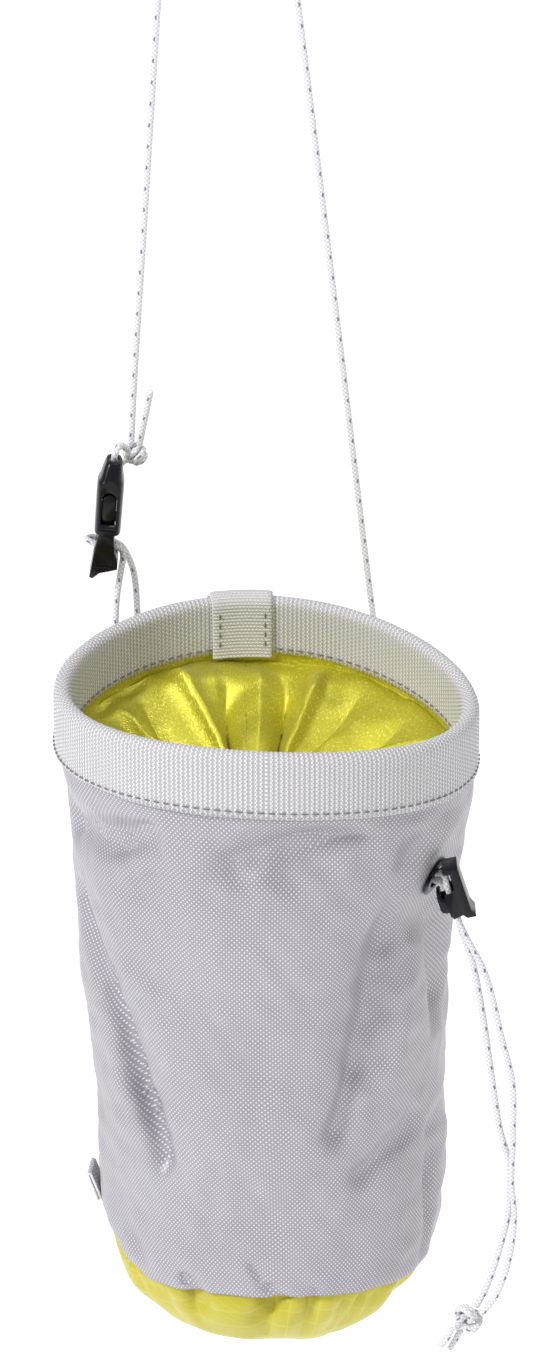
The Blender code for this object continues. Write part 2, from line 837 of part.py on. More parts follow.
def lining_point(azimuth, wave, row):
    """Middle of the lining's cloth at an azimuth and a fractional row of LINING_ROWS."""
    drop_share, reach, fold = table_row(LINING_ROWS, row)
    angle = math.radians(azimuth)
    edge_x = LINING_RADIUS * math.sin(angle)
    edge_y = -LINING_RADIUS * math.cos(angle)
    neck_x = NECK_X + NECK_RADIUS * math.sin(angle)
    neck_y = NECK_Y - NECK_RADIUS * math.cos(angle)
    drop = drop_share * NECK_DROP
    level = rim_height(azimuth) * max(0.0, min(1.0, reach * 1.3 - 0.3))
    return Vector((
        neck_x + (edge_x - neck_x) * reach,
        neck_y + (edge_y - neck_y) * reach,
        level - drop - wave * fold * LINING_FOLD,
    ))


def build_lining():
    """Satin funnel from the band's slot in and down to the drawn neck."""
    columns = lining_azimuths()
    last = len(LINING_ROWS) - 1
    outer = []
    inner = []
    for row in range(last + 1):
        outer_ring = []
        inner_ring = []
        for azimuth, wave in columns:
            point = lining_point(azimuth, wave, row)
            below = lining_point(azimuth, wave, min(row + 0.1, last))
            above = lining_point(azimuth, wave, max(row - 0.1, 0))
            angle = math.radians(azimuth)
            across = Vector((math.cos(angle), math.sin(angle), 0))
            normal = (below - above).cross(across).normalized()
            outer_ring.append(point + normal * LINING_WALL / 2)
            inner_ring.append(point - normal * LINING_WALL / 2)
        outer.append(outer_ring)
        inner.append(inner_ring)
    return looped_skin("lining", outer + list(reversed(inner)), lining_paint)


def hem_rings(radius_offset):
    """Rings of the gathered hem, which hangs below the lining and flares at its foot."""
    rings = []
    top = -NECK_DROP - 2 * GAP - LINING_WALL
    for row in range(HEM_ROWS + 1):
        share = row / HEM_ROWS
        radius = NECK_RADIUS + radius_offset + HEM_FLARE * share ** 3
        ring = []
        for step in range(HEM_SIDES):
            angle = 2 * math.pi * step / HEM_SIDES
            ring.append(Vector((
                NECK_X + radius * math.sin(angle),
                NECK_Y - radius * math.cos(angle),
                top - HEM_HEIGHT * share,
            )))
        rings.append(ring)
    return rings


def build_hem():
    outer = hem_rings(LINING_WALL / 2)
    inner = hem_rings(-LINING_WALL / 2)
    return looped_skin("lining_hem", outer + list(reversed(inner)), lining_paint)


def build_eyelet():
    """Black eyelet: two flanges and a barrel, turned about its axis."""
    seat = SHELL_WALL + EYELET_SEAT
    profile = (
        (EYELET_BORE_RADIUS, EYELET_FLANGE + EYELET_SEAT - 0.0003),
        (EYELET_BORE_RADIUS + 0.0004, EYELET_FLANGE + EYELET_SEAT),
        (EYELET_FLANGE_RADIUS - 0.0006, EYELET_FLANGE + EYELET_SEAT - 0.0002),
        (EYELET_FLANGE_RADIUS, EYELET_SEAT + 0.0002),
        (EYELET_FLANGE_RADIUS - 0.0002, EYELET_SEAT),
        (EYELET_BARREL_RADIUS, EYELET_SEAT),
        (EYELET_BARREL_RADIUS, -seat),
        (EYELET_FLANGE_RADIUS - 0.0010, -seat),
        (EYELET_FLANGE_RADIUS - 0.0010, -seat - EYELET_FLANGE),
        (EYELET_BORE_RADIUS, -seat - EYELET_FLANGE),
    )
    axis = eyelet_axis()
    side = axis.orthogonal().normalized()
    other = axis.cross(side)
    centre = eyelet_centre()
    rings = []
    for radius, height in profile:
        ring = []
        for step in range(EYELET_SIDES):
            angle = 2 * math.pi * step / EYELET_SIDES
            around = side * math.cos(angle) + other * math.sin(angle)
            ring.append(centre + axis * height + around * radius)
        rings.append(ring)
    return looped_skin("grommet", rings, plastic_paint)


def build_lock():
    """Cord lock: a housing with an open upper recess, and the button that slides into it."""
    bar_back = CORD_RADIUS + GAP + BUTTON_BAR
    pocket_back = bar_back + BUTTON_TRAVEL + GAP
    slot_front = -CORD_RADIUS - GAP - BUTTON_TRAVEL
    head_front = slot_front - BUTTON_HEAD
    slot_half = CORD_DIAMETER + 1.5 * GAP
    button_half = slot_half + 0.0009
    pocket_half = button_half + GAP
    pocket_top = BUTTON_TOP + GAP
    pocket_foot = BUTTON_FOOT - GAP
    cheek_front = -CORD_RADIUS - GAP
    cheek_top = BUTTON_SIDE_TOP + GAP
    rib_face = 0.0019
    lip_foot = LOCK_TOP - 0.0014
    outline = (
        (cheek_front, LOCK_FOOT + 0.0010),
        (cheek_front, cheek_top),
        (rib_face - 0.0009, cheek_top),
        (rib_face, pocket_top + 0.0004),
        (rib_face, lip_foot),
        (0.0002, lip_foot + 0.0003),
        (0.0001, LOCK_TOP),
        (LOCK_BACK - 0.0002, LOCK_TOP - 0.0003),
        (LOCK_BACK, LOCK_FOOT + 0.0012),
        (LOCK_BACK + 0.0009, LOCK_FOOT - 0.0011),
        (LOCK_BACK - 0.0016, LOCK_FOOT - 0.0009),
        (LOCK_BACK - 0.0026, LOCK_FOOT + 0.0003),
        (-0.0006, LOCK_FOOT - 0.0002),
    )
    housing = extruded("lock_housing", outline, LOCK_HALF_DEPTH, plastic_paint)
    bevel(housing, LOCK_BEVEL)
    pocket = box_cutter(
        "lock_pocket",
        (cheek_front - 0.0020, -pocket_half, pocket_foot),
        (pocket_back, pocket_half, pocket_top),
    )
    bore = box_cutter(
        "lock_bore",
        (cheek_front + 0.0001, -slot_half, LOCK_FOOT - 0.0020),
        (CORD_RADIUS + GAP, slot_half, pocket_foot + 0.0010),
    )
    boolean(housing, pocket, "DIFFERENCE")
    boolean(housing, bore, "DIFFERENCE")
    button_outline = (
        (head_front + 0.0015, BUTTON_FOOT),
        (bar_back, BUTTON_FOOT),
        (bar_back, BUTTON_SIDE_TOP),
        (slot_front, BUTTON_SIDE_TOP),
        (slot_front, BUTTON_TOP),
        (head_front + 0.0004, BUTTON_TOP),
        (head_front, BUTTON_TOP - 0.0004),
        (head_front, BUTTON_FOOT + 0.0015),
        (head_front + 0.0004, BUTTON_FOOT + 0.0004),
    )
    button = extruded("lock_button", button_outline, button_half, plastic_paint)
    slot = box_cutter(
        "button_slot",
        (slot_front, -slot_half, BUTTON_FOOT - 0.0010),
        (CORD_RADIUS + GAP, slot_half, BUTTON_TOP + 0.0010),
    )
    boolean(button, slot, "DIFFERENCE")
    axes = lean_matrix(lock_centre(), LOCK_LEAN)
    set_axes((housing, pocket, bore, button, slot), axes)
    return housing, button


def build_socket():
    """Socket half of the clip: a flat tube with a window over each prong and an eye at its top."""
    sections = (
        (0.000, 1.00, 1.00, 0.00),
        (0.670, 1.02, 1.00, 0.00),
        (0.770, 0.88, 0.94, 0.02),
        (0.915, 0.72, 0.80, 0.05),
        (1.000, 0.50, 0.64, 0.06),
    )
    sides = 16
    rows = []
    for height, width, depth, shift in sections:
        ring = []
        for step in range(sides):
            angle = 2 * math.pi * (step + 0.5) / sides
            ring.append(Vector((
                SOCKET_HALF_WIDTH * (shift * 2 + width * signed_power(math.cos(angle), 0.55)),
                SOCKET_HALF_DEPTH * depth * signed_power(math.sin(angle), 0.55),
                SOCKET_LENGTH * height,
            )))
        rows.append(ring)
    socket = sheet_skin("clip_socket", rows, plastic_paint)
    half_width = SOCKET_HALF_WIDTH - SOCKET_WALL
    half_depth = SOCKET_HALF_DEPTH - SOCKET_WALL
    cavity_top = PRONG_LENGTH + 2 * GAP
    cavity = box_cutter(
        "socket_cavity",
        (-half_width, -half_depth, -0.0010),
        (half_width, half_depth, cavity_top),
    )
    window_foot = 0.0030
    window_half = PRONG_HALF_WIDTH + GAP
    arch = []
    for step in range(7):
        angle = math.pi * step / 6
        arch.append((window_half * math.cos(angle), cavity_top - window_half + window_half * math.sin(angle)))
    window_outline = [(-window_half, window_foot), (window_half, window_foot)] + arch
    window = hide_cutter(
        extruded("socket_window", window_outline, SOCKET_HALF_DEPTH + 0.0010, cutter_paint)
    )
    eye_start = Vector((0.0004, -0.0022, SOCKET_LENGTH + 0.0022))
    eye_end = Vector((0.0004, 0.0078, SOCKET_LENGTH - 0.0078))
    eye = rod_cutter("socket_eye", eye_start, eye_end, EYE_RADIUS)
    for cutter in (cavity, window, eye):
        boolean(socket, cutter, "DIFFERENCE")
    set_axes((socket, cavity, window, eye), lean_matrix(CLIP_CENTRE, -CLIP_LEAN))
    return socket


def build_plug():
    """Plug half of the clip: a flared base with an eye for the cord, and two prongs in the socket."""
    throat = SOCKET_HALF_WIDTH - SOCKET_WALL - GAP
    outline = (
        (-throat, 0.0010),
        (throat - 0.0002, 0.0010),
        (0.0021, -0.0020),
        (0.0025, -0.0060),
        (0.0037, -0.0092),
        (0.0037, -0.0113),
        (-0.0015, -0.0128),
        (-0.0034, -0.0146),
        (-0.0044, -0.0143),
        (-0.0040, -0.0110),
        (-0.0033, -0.0050),
        (-0.0026, -0.0015),
    )
    plug = extruded("clip_plug", outline, SOCKET_HALF_DEPTH - SOCKET_WALL - GAP, plastic_paint)
    bevel(plug, CLIP_BEVEL)
    prongs = []
    for name, side in (("prong_front", -1), ("prong_back", 1)):
        rows = []
        for height, reach, width in (
            (-0.0010, 0.70, 0.90),
            (0.0032, 0.72, 0.95),
            (0.0050, 0.90, 1.00),
            (0.0085, 0.93, 1.00),
            (PRONG_LENGTH - 0.0015, 0.86, 0.85),
            (PRONG_LENGTH, 0.72, 0.55),
        ):
            outer = SOCKET_HALF_DEPTH * reach * side
            inner = SOCKET_HALF_DEPTH * 0.42 * side
            half = PRONG_HALF_WIDTH * width
            rows.append([
                Vector((-half, inner, height)),
                Vector((half, inner, height)),
                Vector((half, outer * 0.94, height)),
                Vector((half * 0.5, outer, height)),
                Vector((-half * 0.5, outer, height)),
                Vector((-half, outer * 0.94, height)),
            ])
        prongs.append(hide_cutter(sheet_skin(name, rows, cutter_paint)))
    panel = box_cutter("plug_panel", (-0.0026, -0.0080, -0.0108), (0.0024, -0.0046, -0.0062))
    eye = rod_cutter("plug_eye", Vector((-0.0060, 0.0015, -0.0053)), Vector((0.0060, 0.0015, -0.0074)), EYE_RADIUS)
    for prong in prongs:
        boolean(plug, prong, "UNION")
    boolean(plug, panel, "DIFFERENCE")
    boolean(plug, eye, "DIFFERENCE")
    set_axes((plug, *prongs, panel, eye), lean_matrix(CLIP_CENTRE, -CLIP_LEAN))
    return plug


def build_sleeve():
    """Webbing sleeve sewn flat to the back above and below the cord's channel."""
    profile = (
        (0.00, 0.0), (0.16, 0.0), (0.26, 1.0), (0.74, 1.0), (0.84, 0.0), (1.00, 0.0),
    )
    steps = 10
    rows = []
    for step in range(steps + 1):
        azimuth = SLEEVE_AZIMUTH + SLEEVE_HALF_ANGLE * (2 * step / steps - 1)
        near = []
        far = []
        for share, lift in profile:
            section = SLEEVE_TOP_SECTION + (SLEEVE_FOOT_SECTION - SLEEVE_TOP_SECTION) * share
            offset = GAP + lift * (SLEEVE_CHANNEL - GAP)
            near.append(bag_offset(azimuth, section, offset))
            far.append(bag_offset(azimuth, section, offset + SLEEVE_WALL))
        rows.append(near + list(reversed(far)))
    return sheet_skin("belt_sleeve", rows, band_paint)


def build_tab():
    """Small webbing tab, folded double and sewn in at the left of the bottom's seam."""
    outline = []
    half = TAB_THICKNESS + TAB_SPLIT / 2
    crown = TAB_LENGTH - half
    outline.append((-half, 0.0))
    for degrees in (180, 135, 90, 45, 0):
        angle = math.radians(degrees)
        outline.append((half * math.cos(angle), crown + half * math.sin(angle)))
    outline.append((half, 0.0))
    outline.append((TAB_SPLIT / 2, 0.0))
    for degrees in (0, 90, 180):
        angle = math.radians(degrees)
        outline.append((TAB_SPLIT / 2 * math.cos(angle), crown + TAB_SPLIT / 2 * math.sin(angle)))
    outline.append((-TAB_SPLIT / 2, 0.0))
    tab = extruded("loop_tab", outline, TAB_WIDTH / 2, band_paint)
    foot = bag_offset(TAB_AZIMUTH, TAB_SECTION, half + 2 * GAP)
    tab.matrix_local = (
        Matrix.Translation(foot)
        @ Matrix.Rotation(math.radians(TAB_AZIMUTH - 270), 4, "Z")
        @ Matrix.Rotation(math.radians(-TAB_LEAN), 4, "Y")
    )
    return tab


def strand_pair(route, start_side):
    """Two routes side by side, one cord apart, that turn with the route between them."""
    close = smooth_route(route)[::FINE_STEPS // 4]
    side = start_side.normalized()
    near = []
    far = []
    for index, point in enumerate(close):
        ahead = close[min(index + 1, len(close) - 1)] - close[max(index - 1, 0)]
        along = ahead.normalized()
        side = (side - along * side.dot(along)).normalized()
        near.append(point - side * CORD_PAIR / 2)
        far.append(point + side * CORD_PAIR / 2)
    return near, far, side


def draw_loop_route():
    """From the lock through the eyelet, round the hem and back, the two strands side by side."""
    axis = eyelet_axis()
    centre = eyelet_centre()
    neck = Vector((NECK_X, NECK_Y, -DRAW_INNER_DROP))
    ring_radius = NECK_RADIUS + LINING_WALL / 2 + 3 * GAP + CORD_RADIUS
    heading = math.atan2(centre.x - neck.x, neck.y - centre.y)
    away = Vector((math.sin(heading), -math.cos(heading), 0))
    base = from_lock(DRAW_LEAD_ROUTE)
    base += [centre + axis * 0.0010, centre - axis * 0.0035, centre - axis * 0.0100]
    base += [neck + away * 0.032, neck + away * 0.024]
    near, far, side = strand_pair(base, Vector((0, 1, 0)))
    along = Vector((math.cos(heading), math.sin(heading), 0))
    if side.dot(along) < 0:
        near, far = far, near
    ring = []
    for degrees in range(50, 311, 20):
        angle = heading + math.radians(degrees)
        ring.append(neck + Vector((math.sin(angle), -math.cos(angle), 0)) * ring_radius)
    return far + ring + list(reversed(near))


def sleeve_point(azimuth, section):
    return bag_offset(azimuth, section, GAP + CORD_RADIUS)


def build_cords():
    right_end = SLEEVE_AZIMUTH - SLEEVE_HALF_ANGLE
    left_end = SLEEVE_AZIMUTH + SLEEVE_HALF_ANGLE
    upper = SLEEVE_UPPER_SECTION
    lower = SLEEVE_LOWER_SECTION
    into_right = [sleeve_point(right_end + turn, upper) for turn in (1.0, SLEEVE_REACH)]
    out_left = [sleeve_point(left_end - turn, lower) for turn in (SLEEVE_REACH, 1.0)]
    back_left = [sleeve_point(left_end - turn, upper) for turn in (1.0, SLEEVE_REACH)]
    inside = []
    for step in range(5):
        start = right_end + SLEEVE_REACH + SLEEVE_SPLIT
        end = left_end - SLEEVE_REACH - SLEEVE_SPLIT
        inside.append(sleeve_point(start + (end - start) * step / 4, upper))
    cord("waist_cord", list(WAIST_ROUTE) + into_right, 35, cord_paint)
    cord("sleeve_cord", inside, 8, cord_paint)
    cord("clip_cord", out_left + list(CLIP_ROUTE) + back_left, 36, cord_paint)
    cord("waist_eye_cord", WAIST_EYE_ROUTE, 11, cord_paint)
    cord("waist_tail", WAIST_TAIL_ROUTE, 4, cord_paint)
    cord("draw_cord_right", from_lock(DRAW_RIGHT_ROUTE), 16, cord_paint)
    cord("draw_cord_left", from_lock(DRAW_LEFT_ROUTE), 16, cord_paint)
    cord("draw_tail_left", from_lock(DRAW_TAIL_LEFT_ROUTE), 3, cord_paint)
    cord("draw_tail_right", from_lock(DRAW_TAIL_RIGHT_ROUTE), 3, cord_paint)
    cord("draw_loop", draw_loop_route(), 30, cord_paint)
    knot("waist_knot", WAIST_KNOT, WAIST_KNOT_SIZE, 0.0, cord_paint)
    knot("draw_knot", lock_centre() + DRAW_KNOT, DRAW_KNOT_SIZE, -20.0, cord_paint)


for leftover in list(bpy.data.objects):
    bpy.data.objects.remove(leftover)

carrier = bpy.data.objects.new("mouth_frame", None)
carrier.location = -HANG_POINT
bpy.context.scene.collection.objects.link(carrier)

shell_paint = material("grey_cloth", (0.56, 0.55, 0.60), 0.55)
bottom_paint = material("yellow_cloth", (0.76, 0.72, 0.10), 0.50)
lining_paint = material("yellow_satin", (0.78, 0.76, 0.06), 0.35)
band_paint = material("off_white_webbing", (0.80, 0.79, 0.80), 0.85)
patch_paint = material("grey_webbing", (0.72, 0.71, 0.70), 0.85)
cord_paint = material("white_braid", (0.86, 0.86, 0.87), 0.75)
plastic_paint = material("black_plastic", (0.02, 0.02, 0.03), 0.25)
cutter_paint = material("cutter", (1.0, 0.2, 0.2), 0.5)

build_shell()
build_bottom()
build_band()
build_lining()
build_hem()
build_eyelet()
build_lock()
build_socket()
build_plug()
build_sleeve()
build_tab()
build_cords()
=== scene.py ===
"""Looks of the climbing chalk bag: its cloth, webbing, braided cords and moulded plastic.

Units are metres and degrees. As in the part's source, shapes are worked out in the mouth's frame, whose
origin is the middle of the mouth, and go to the row's frame when a mesh is made.
"""
import math

import bmesh
import bpy
import numpy as np
from mathutils import Matrix, Vector


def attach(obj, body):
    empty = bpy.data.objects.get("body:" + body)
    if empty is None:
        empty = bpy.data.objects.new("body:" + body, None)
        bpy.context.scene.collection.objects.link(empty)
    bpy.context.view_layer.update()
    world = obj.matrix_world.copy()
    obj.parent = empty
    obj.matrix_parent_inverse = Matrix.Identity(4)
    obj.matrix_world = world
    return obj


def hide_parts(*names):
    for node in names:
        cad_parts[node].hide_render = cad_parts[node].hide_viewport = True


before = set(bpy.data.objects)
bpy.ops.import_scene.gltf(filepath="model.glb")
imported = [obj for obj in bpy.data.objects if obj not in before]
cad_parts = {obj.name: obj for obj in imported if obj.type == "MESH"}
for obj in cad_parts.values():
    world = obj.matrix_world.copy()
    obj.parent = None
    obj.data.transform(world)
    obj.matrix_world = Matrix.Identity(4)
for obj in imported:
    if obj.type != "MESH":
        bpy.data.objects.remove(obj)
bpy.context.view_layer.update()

# Sizes that repeat the part's source
HANG_POINT = np.array((-0.0126, 0.0530, 0.2580))
MOUTH_RADIUS = 0.062
BAG_HEIGHT = 0.212
SHELL_WALL = 0.0010
LINING_WALL = 0.0010
WEBBING = 0.0012
GAP = 0.0003
RIM_MEAN = -0.0020
RIM_SADDLE = 0.0030
RIM_TILT = -0.0028
RIM_FADE_START = 0.020
RIM_FADE_END = 0.095
BAND_OUTER_LEG = 0.0195
BAND_INNER_LEG = 0.0178
BAND_THICKNESS = 2 * WEBBING + SHELL_WALL + LINING_WALL + 3 * GAP
PATCH_WIDTH = 0.020
PATCH_AZIMUTH = 187.5
PATCH_EXTRA = 0.0008
SHELL_RADIUS = MOUTH_RADIUS - WEBBING - GAP
LINING_RADIUS = SHELL_RADIUS - SHELL_WALL - GAP - LINING_WALL / 2
SHELL_TOP = 0.26
BAND_END = 1.0
SEAM_SPLIT = 0.04

# Columns: height, half_width, half_depth, centre_x, centre_y, square
SECTIONS = (
    (0.000, 1.000, 1.000, 0.000, 0.000, 2.00),
    (0.096, 1.000, 1.000, 0.000, 0.000, 2.00),
    (0.160, 0.972, 0.985, 0.008, 0.000, 2.00),
    (0.250, 0.941, 0.945, 0.000, 0.000, 2.05),
    (0.401, 0.904, 0.870, 0.000, 0.004, 2.10),
    (0.529, 0.881, 0.805, 0.005, 0.006, 2.15),
    (0.650, 0.861, 0.755, 0.020, 0.008, 2.15),
    (0.754, 0.850, 0.712, 0.028, 0.008, 2.15),
    (0.825, 0.832, 0.680, 0.033, 0.006, 2.15),
    (0.881, 0.788, 0.645, 0.035, 0.000, 2.10),
    (0.938, 0.668, 0.548, 0.022, -0.004, 2.05),
    (0.984, 0.420, 0.345, 0.006, -0.004, 2.00),
    (1.000, 0.000, 0.000, 0.000, 0.000, 2.00),
)
LAST_SECTION = len(SECTIONS) - 1

# Columns: azimuth, section
SEAM = (
    (0, 8.80),
    (50, 8.85),
    (90, 8.50),
    (130, 7.90),
    (180, 7.00),
    (230, 7.00),
    (258, 7.60),
    (278, 7.75),
    (290, 8.05),
    (299, 8.65),
    (312, 8.85),
)

# Columns: azimuth_a, height_a, azimuth_b, height_b, depth, half_width
FOLDS = (
    (-80, 0.190, -36, 0.142, 0.070, 0.085),
    (-9, 0.165, 25, 0.108, 0.066, 0.100),
    (-76, 0.310, -58, 0.420, 0.045, 0.080),
    (-58, 0.420, -37, 0.660, 0.062, 0.070),
    (-44, 0.330, -30, 0.480, -0.030, 0.150),
    (48, 0.180, 38, 0.310, 0.070, 0.120),
    (38, 0.310, 30, 0.490, 0.075, 0.140),
    (30, 0.490, 21, 0.600, 0.055, 0.080),
    (48, 0.400, 44, 0.520, -0.025, 0.100),
    (66, 0.330, 72, 0.440, 0.100, 0.130),
    (52, 0.615, 30, 0.680, 0.040, 0.085),
    (66, 0.660, 64, 0.840, 0.030, 0.075),
    (-27, 0.860, -26, 0.900, 0.035, 0.055),
    (2, 0.870, -6, 0.905, 0.028, 0.050),
    (150, 0.300, 172, 0.520, 0.065, 0.130),
    (205, 0.340, 192, 0.620, 0.060, 0.120),
    (232, 0.300, 246, 0.470, 0.055, 0.110),
    (112, 0.420, 126, 0.620, 0.055, 0.110),
    (-100, 0.520, -112, 0.680, 0.040, 0.100),
)

NECK_RADIUS = 0.0080
NECK_DROP = 0.0425
NECK_X = -0.0032
NECK_Y = 0.0020
# Columns: drop, reach
LINING_ROWS = (
    (0.080, 1.000),
    (0.450, 1.000),
    (0.486, 0.965),
    (0.530, 0.870),
    (0.620, 0.710),
    (0.720, 0.530),
    (0.820, 0.350),
    (0.920, 0.165),
    (1.000, 0.000),
)
HEM_HEIGHT = 0.0075
HEM_FLARE = 0.0032

CORD_DIAMETER = 0.0020
CORD_RADIUS = CORD_DIAMETER / 2
CORD_PAIR = CORD_DIAMETER + GAP

EYELET_AZIMUTH = 59.5
EYELET_SECTION = 2.76
EYELET_FACING = 63.0
EYELET_DIP = 20.0
EYELET_SUNK = 0.0018
EYELET_FLANGE_RADIUS = 0.0062
EYELET_BARREL_RADIUS = 0.0042
EYELET_BORE_RADIUS = 0.0033
EYELET_FLANGE = 0.0009
EYELET_SEAT = 0.0005
EYELET_FLAT_RADIUS = 0.0120
EYELET_FLAT_FADE = 0.0100

LOCK_REACH = np.array((0.0052, -0.0082, -0.0041))
LOCK_LEAN = 17.0
LOCK_HALF_DEPTH = 0.0046
LOCK_BACK = 0.0048
LOCK_TOP = 0.0112
LOCK_FOOT = -0.0038
BUTTON_TRAVEL = 0.0012
BUTTON_BAR = 0.0010
BUTTON_HEAD = 0.0012
BUTTON_TOP = 0.0040
BUTTON_SIDE_TOP = 0.0021
BUTTON_FOOT = -0.0023
CHEEK_RISE = 0.0018

CLIP_CENTRE = np.array((-0.0472, 0.0500, 0.0264))
CLIP_LEAN = 4.5
SOCKET_LENGTH = 0.0218
SOCKET_HALF_WIDTH = 0.0039
SOCKET_HALF_DEPTH = 0.0066
SOCKET_WALL = 0.0013
PRONG_LENGTH = 0.0125
PRONG_HALF_WIDTH = 0.0019
PRONG_FILL = 0.00025
EYE_RADIUS = 0.0017
SOCKET_SIDES = 56
SOCKET_ROWS = 46
SOCKET_SQUARE = 0.55
# Columns: height, half_width, half_depth, shift
SOCKET_SECTIONS = (
    (0.000, 0.97, 0.97, 0.00),
    (0.020, 1.00, 1.00, 0.00),
    (0.350, 1.02, 1.01, 0.00),
    (0.670, 1.02, 1.00, 0.00),
    (0.770, 0.88, 0.94, 0.02),
    (0.915, 0.72, 0.80, 0.05),
    (0.985, 0.58, 0.70, 0.06),
    (1.000, 0.50, 0.64, 0.06),
)
WINDOW_FOOT = 0.0030
RECESS_FOOT = 0.0012
RECESS_SPRING = 0.0136
RECESS_RISE = 0.0032
RECESS_EDGE = 0.0011
RECESS_DEPTH = 0.00095
THROAT = SOCKET_HALF_WIDTH - SOCKET_WALL - GAP
# Outline of the plug's grip, from its throat down. Columns: u, w
PLUG_OUTLINE = (
    (-THROAT, 0.0010),
    (THROAT - 0.0002, 0.0010),
    (0.0021, -0.0020),
    (0.0023, -0.0040),
    (0.0025, -0.0060),
    (0.0037, -0.0092),
    (0.0037, -0.0113),
    (0.0011, -0.0121),
    (-0.0015, -0.0128),
    (-0.0034, -0.0146),
    (-0.0044, -0.0143),
    (-0.0040, -0.0110),
    (-0.0033, -0.0050),
    (-0.0026, -0.0015),
)
# Columns: height, reach, width
PRONG_SECTIONS = (
    (-0.0010, 0.70, 0.90),
    (0.0032, 0.72, 0.95),
    (0.0050, 0.90, 1.00),
    (0.0068, 0.93, 1.00),
    (0.0085, 0.93, 1.00),
    (0.0100, 0.91, 1.00),
    (PRONG_LENGTH - 0.0015, 0.88, 0.98),
    (PRONG_LENGTH - 0.0004, 0.80, 0.80),
    (PRONG_LENGTH, 0.72, 0.60),
)
PRONG_ROUNDING = 0.0008
BEVEL_ANGLE = 35.0
SHARP_ANGLE = 38.0

SLEEVE_AZIMUTH = 180.0
SLEEVE_HALF_ANGLE = 29.0
SLEEVE_TOP_SECTION = 1.32
SLEEVE_FOOT_SECTION = 2.62
SLEEVE_CHANNEL = CORD_DIAMETER + 2 * GAP
SLEEVE_WALL = 0.0010
SLEEVE_UPPER_SECTION = 1.85
SLEEVE_LOWER_SECTION = 2.12
SLEEVE_SPLIT = 0.3
SLEEVE_REACH = 3.5
SLEEVE_RIBS = 13
# How far the sleeve stands off the body across its height. Columns: share, lift
SLEEVE_PROFILE = (
    (0.00, 0.0),
    (0.16, 0.0),
    (0.21, 0.5),
    (0.26, 1.0),
    (0.74, 1.0),
    (0.79, 0.5),
    (0.84, 0.0),
    (1.00, 0.0),
)
SLEEVE_STITCH_SHARES = (0.07, 0.93)
SLEEVE_CLEAR_ANGLE = 8.0
SLEEVE_CLEAR_SECTION = 0.4

TAB_WIDTH = 0.010
TAB_LENGTH = 0.0096
TAB_THICKNESS = 0.0008
TAB_SPLIT = 0.0003
TAB_AZIMUTH = 265.0
TAB_SECTION = 7.80
TAB_LEAN = 20.0

WAIST_KNOT = np.array((-0.0394, 0.0562, 0.0468))
WAIST_KNOT_TURNS = 3.3
WAIST_KNOT_REACH = (0.0025, 0.0023, 0.0031)
WAIST_KNOT_SHIFT = np.array((0.0005, 0.0, 0.0006))
WAIST_KNOT_LEAN = -48.0
WAIST_KNOT_TILT = 14.0
EYE_TUCK = 0.45
DRAW_KNOT = np.array((0.0062, 0.0000, -0.1375))
DRAW_KNOT_SIZE = (0.00134, 0.00142)
DRAW_KNOT_RISE = 0.00140
DRAW_KNOT_LEAN = -68.0
DRAW_KNOT_TILT = 8.0
# The knot's two strands. Columns: shift, scale
DRAW_KNOT_STRANDS = (
    (-0.0008, 1.00),
    (0.0008, 0.92),
)

WAIST_ROUTE = (
    (-0.0401, 0.0556, 0.0508),
    (-0.0387, 0.0540, 0.0750),
    (-0.0354, 0.0530, 0.1220),
    (-0.0310, 0.0525, 0.1865),
    (-0.0274, 0.0528, 0.2380),
    (-0.0266, 0.0530, 0.2460),
    (-0.0222, 0.0530, 0.2545),
    (-0.0126, 0.0530, 0.2580),
    (-0.0030, 0.0530, 0.2543),
    (0.0014, 0.0532, 0.2450),
    (0.0024, 0.0538, 0.2370),
    (0.0089, 0.0555, 0.1855),
    (0.0201, 0.0570, 0.0939),
    (0.0317, 0.0572, -0.0022),
    (0.0336, 0.0562, -0.0160),
    (0.0346, 0.0544, -0.0245),
    (0.0335, 0.0528, -0.0300),
)
CLIP_ROUTE = (
    (-0.0322, 0.0517, -0.0353),
    (-0.0380, 0.0486, -0.0340),
    (-0.0428, 0.0462, -0.0280),
    (-0.0446, 0.0466, -0.0190),
    (-0.0452, 0.0478, -0.0080),
    (-0.0446, 0.0490, 0.0050),
    (-0.0432, 0.0506, 0.0135),
    (-0.0427, 0.0513, 0.0165),
    (-0.0430, 0.0515, 0.0185),
    (-0.0445, 0.0515, 0.0196),
    (-0.0475, 0.0515, 0.0200),
    (-0.0512, 0.0515, 0.0208),
    (-0.0530, 0.0526, 0.0213),
    (-0.0533, 0.0548, 0.0212),
    (-0.0515, 0.0567, 0.0208),
    (-0.0475, 0.0572, 0.0198),
    (-0.0435, 0.0568, 0.0180),
    (-0.0412, 0.0558, 0.0145),
    (-0.0396, 0.0548, 0.0095),
    (-0.0388, 0.0542, -0.0008),
    (-0.0386, 0.0534, -0.0120),
    (-0.0382, 0.0518, -0.0220),
    (-0.0366, 0.0512, -0.0280),
    (-0.0332, 0.0520, -0.0306),
)
WAIST_EYE_ROUTE = (
    (-0.0419, 0.0542, 0.0502),
    (-0.0434, 0.0518, 0.0515),
    (-0.0446, 0.0497, 0.0500),
    (-0.0451, 0.0504, 0.0477),
    (-0.0453, 0.0530, 0.0451),
    (-0.0455, 0.0562, 0.0419),
    (-0.0453, 0.0584, 0.0407),
    (-0.0441, 0.0594, 0.0417),
    (-0.0428, 0.0590, 0.0438),
)
WAIST_TAIL_ROUTE = (
    (-0.0376, 0.0552, 0.0506),
    (-0.0366, 0.0540, 0.0560),
    (-0.0352, 0.0530, 0.0630),
    (-0.0341, 0.0524, 0.0685),
)
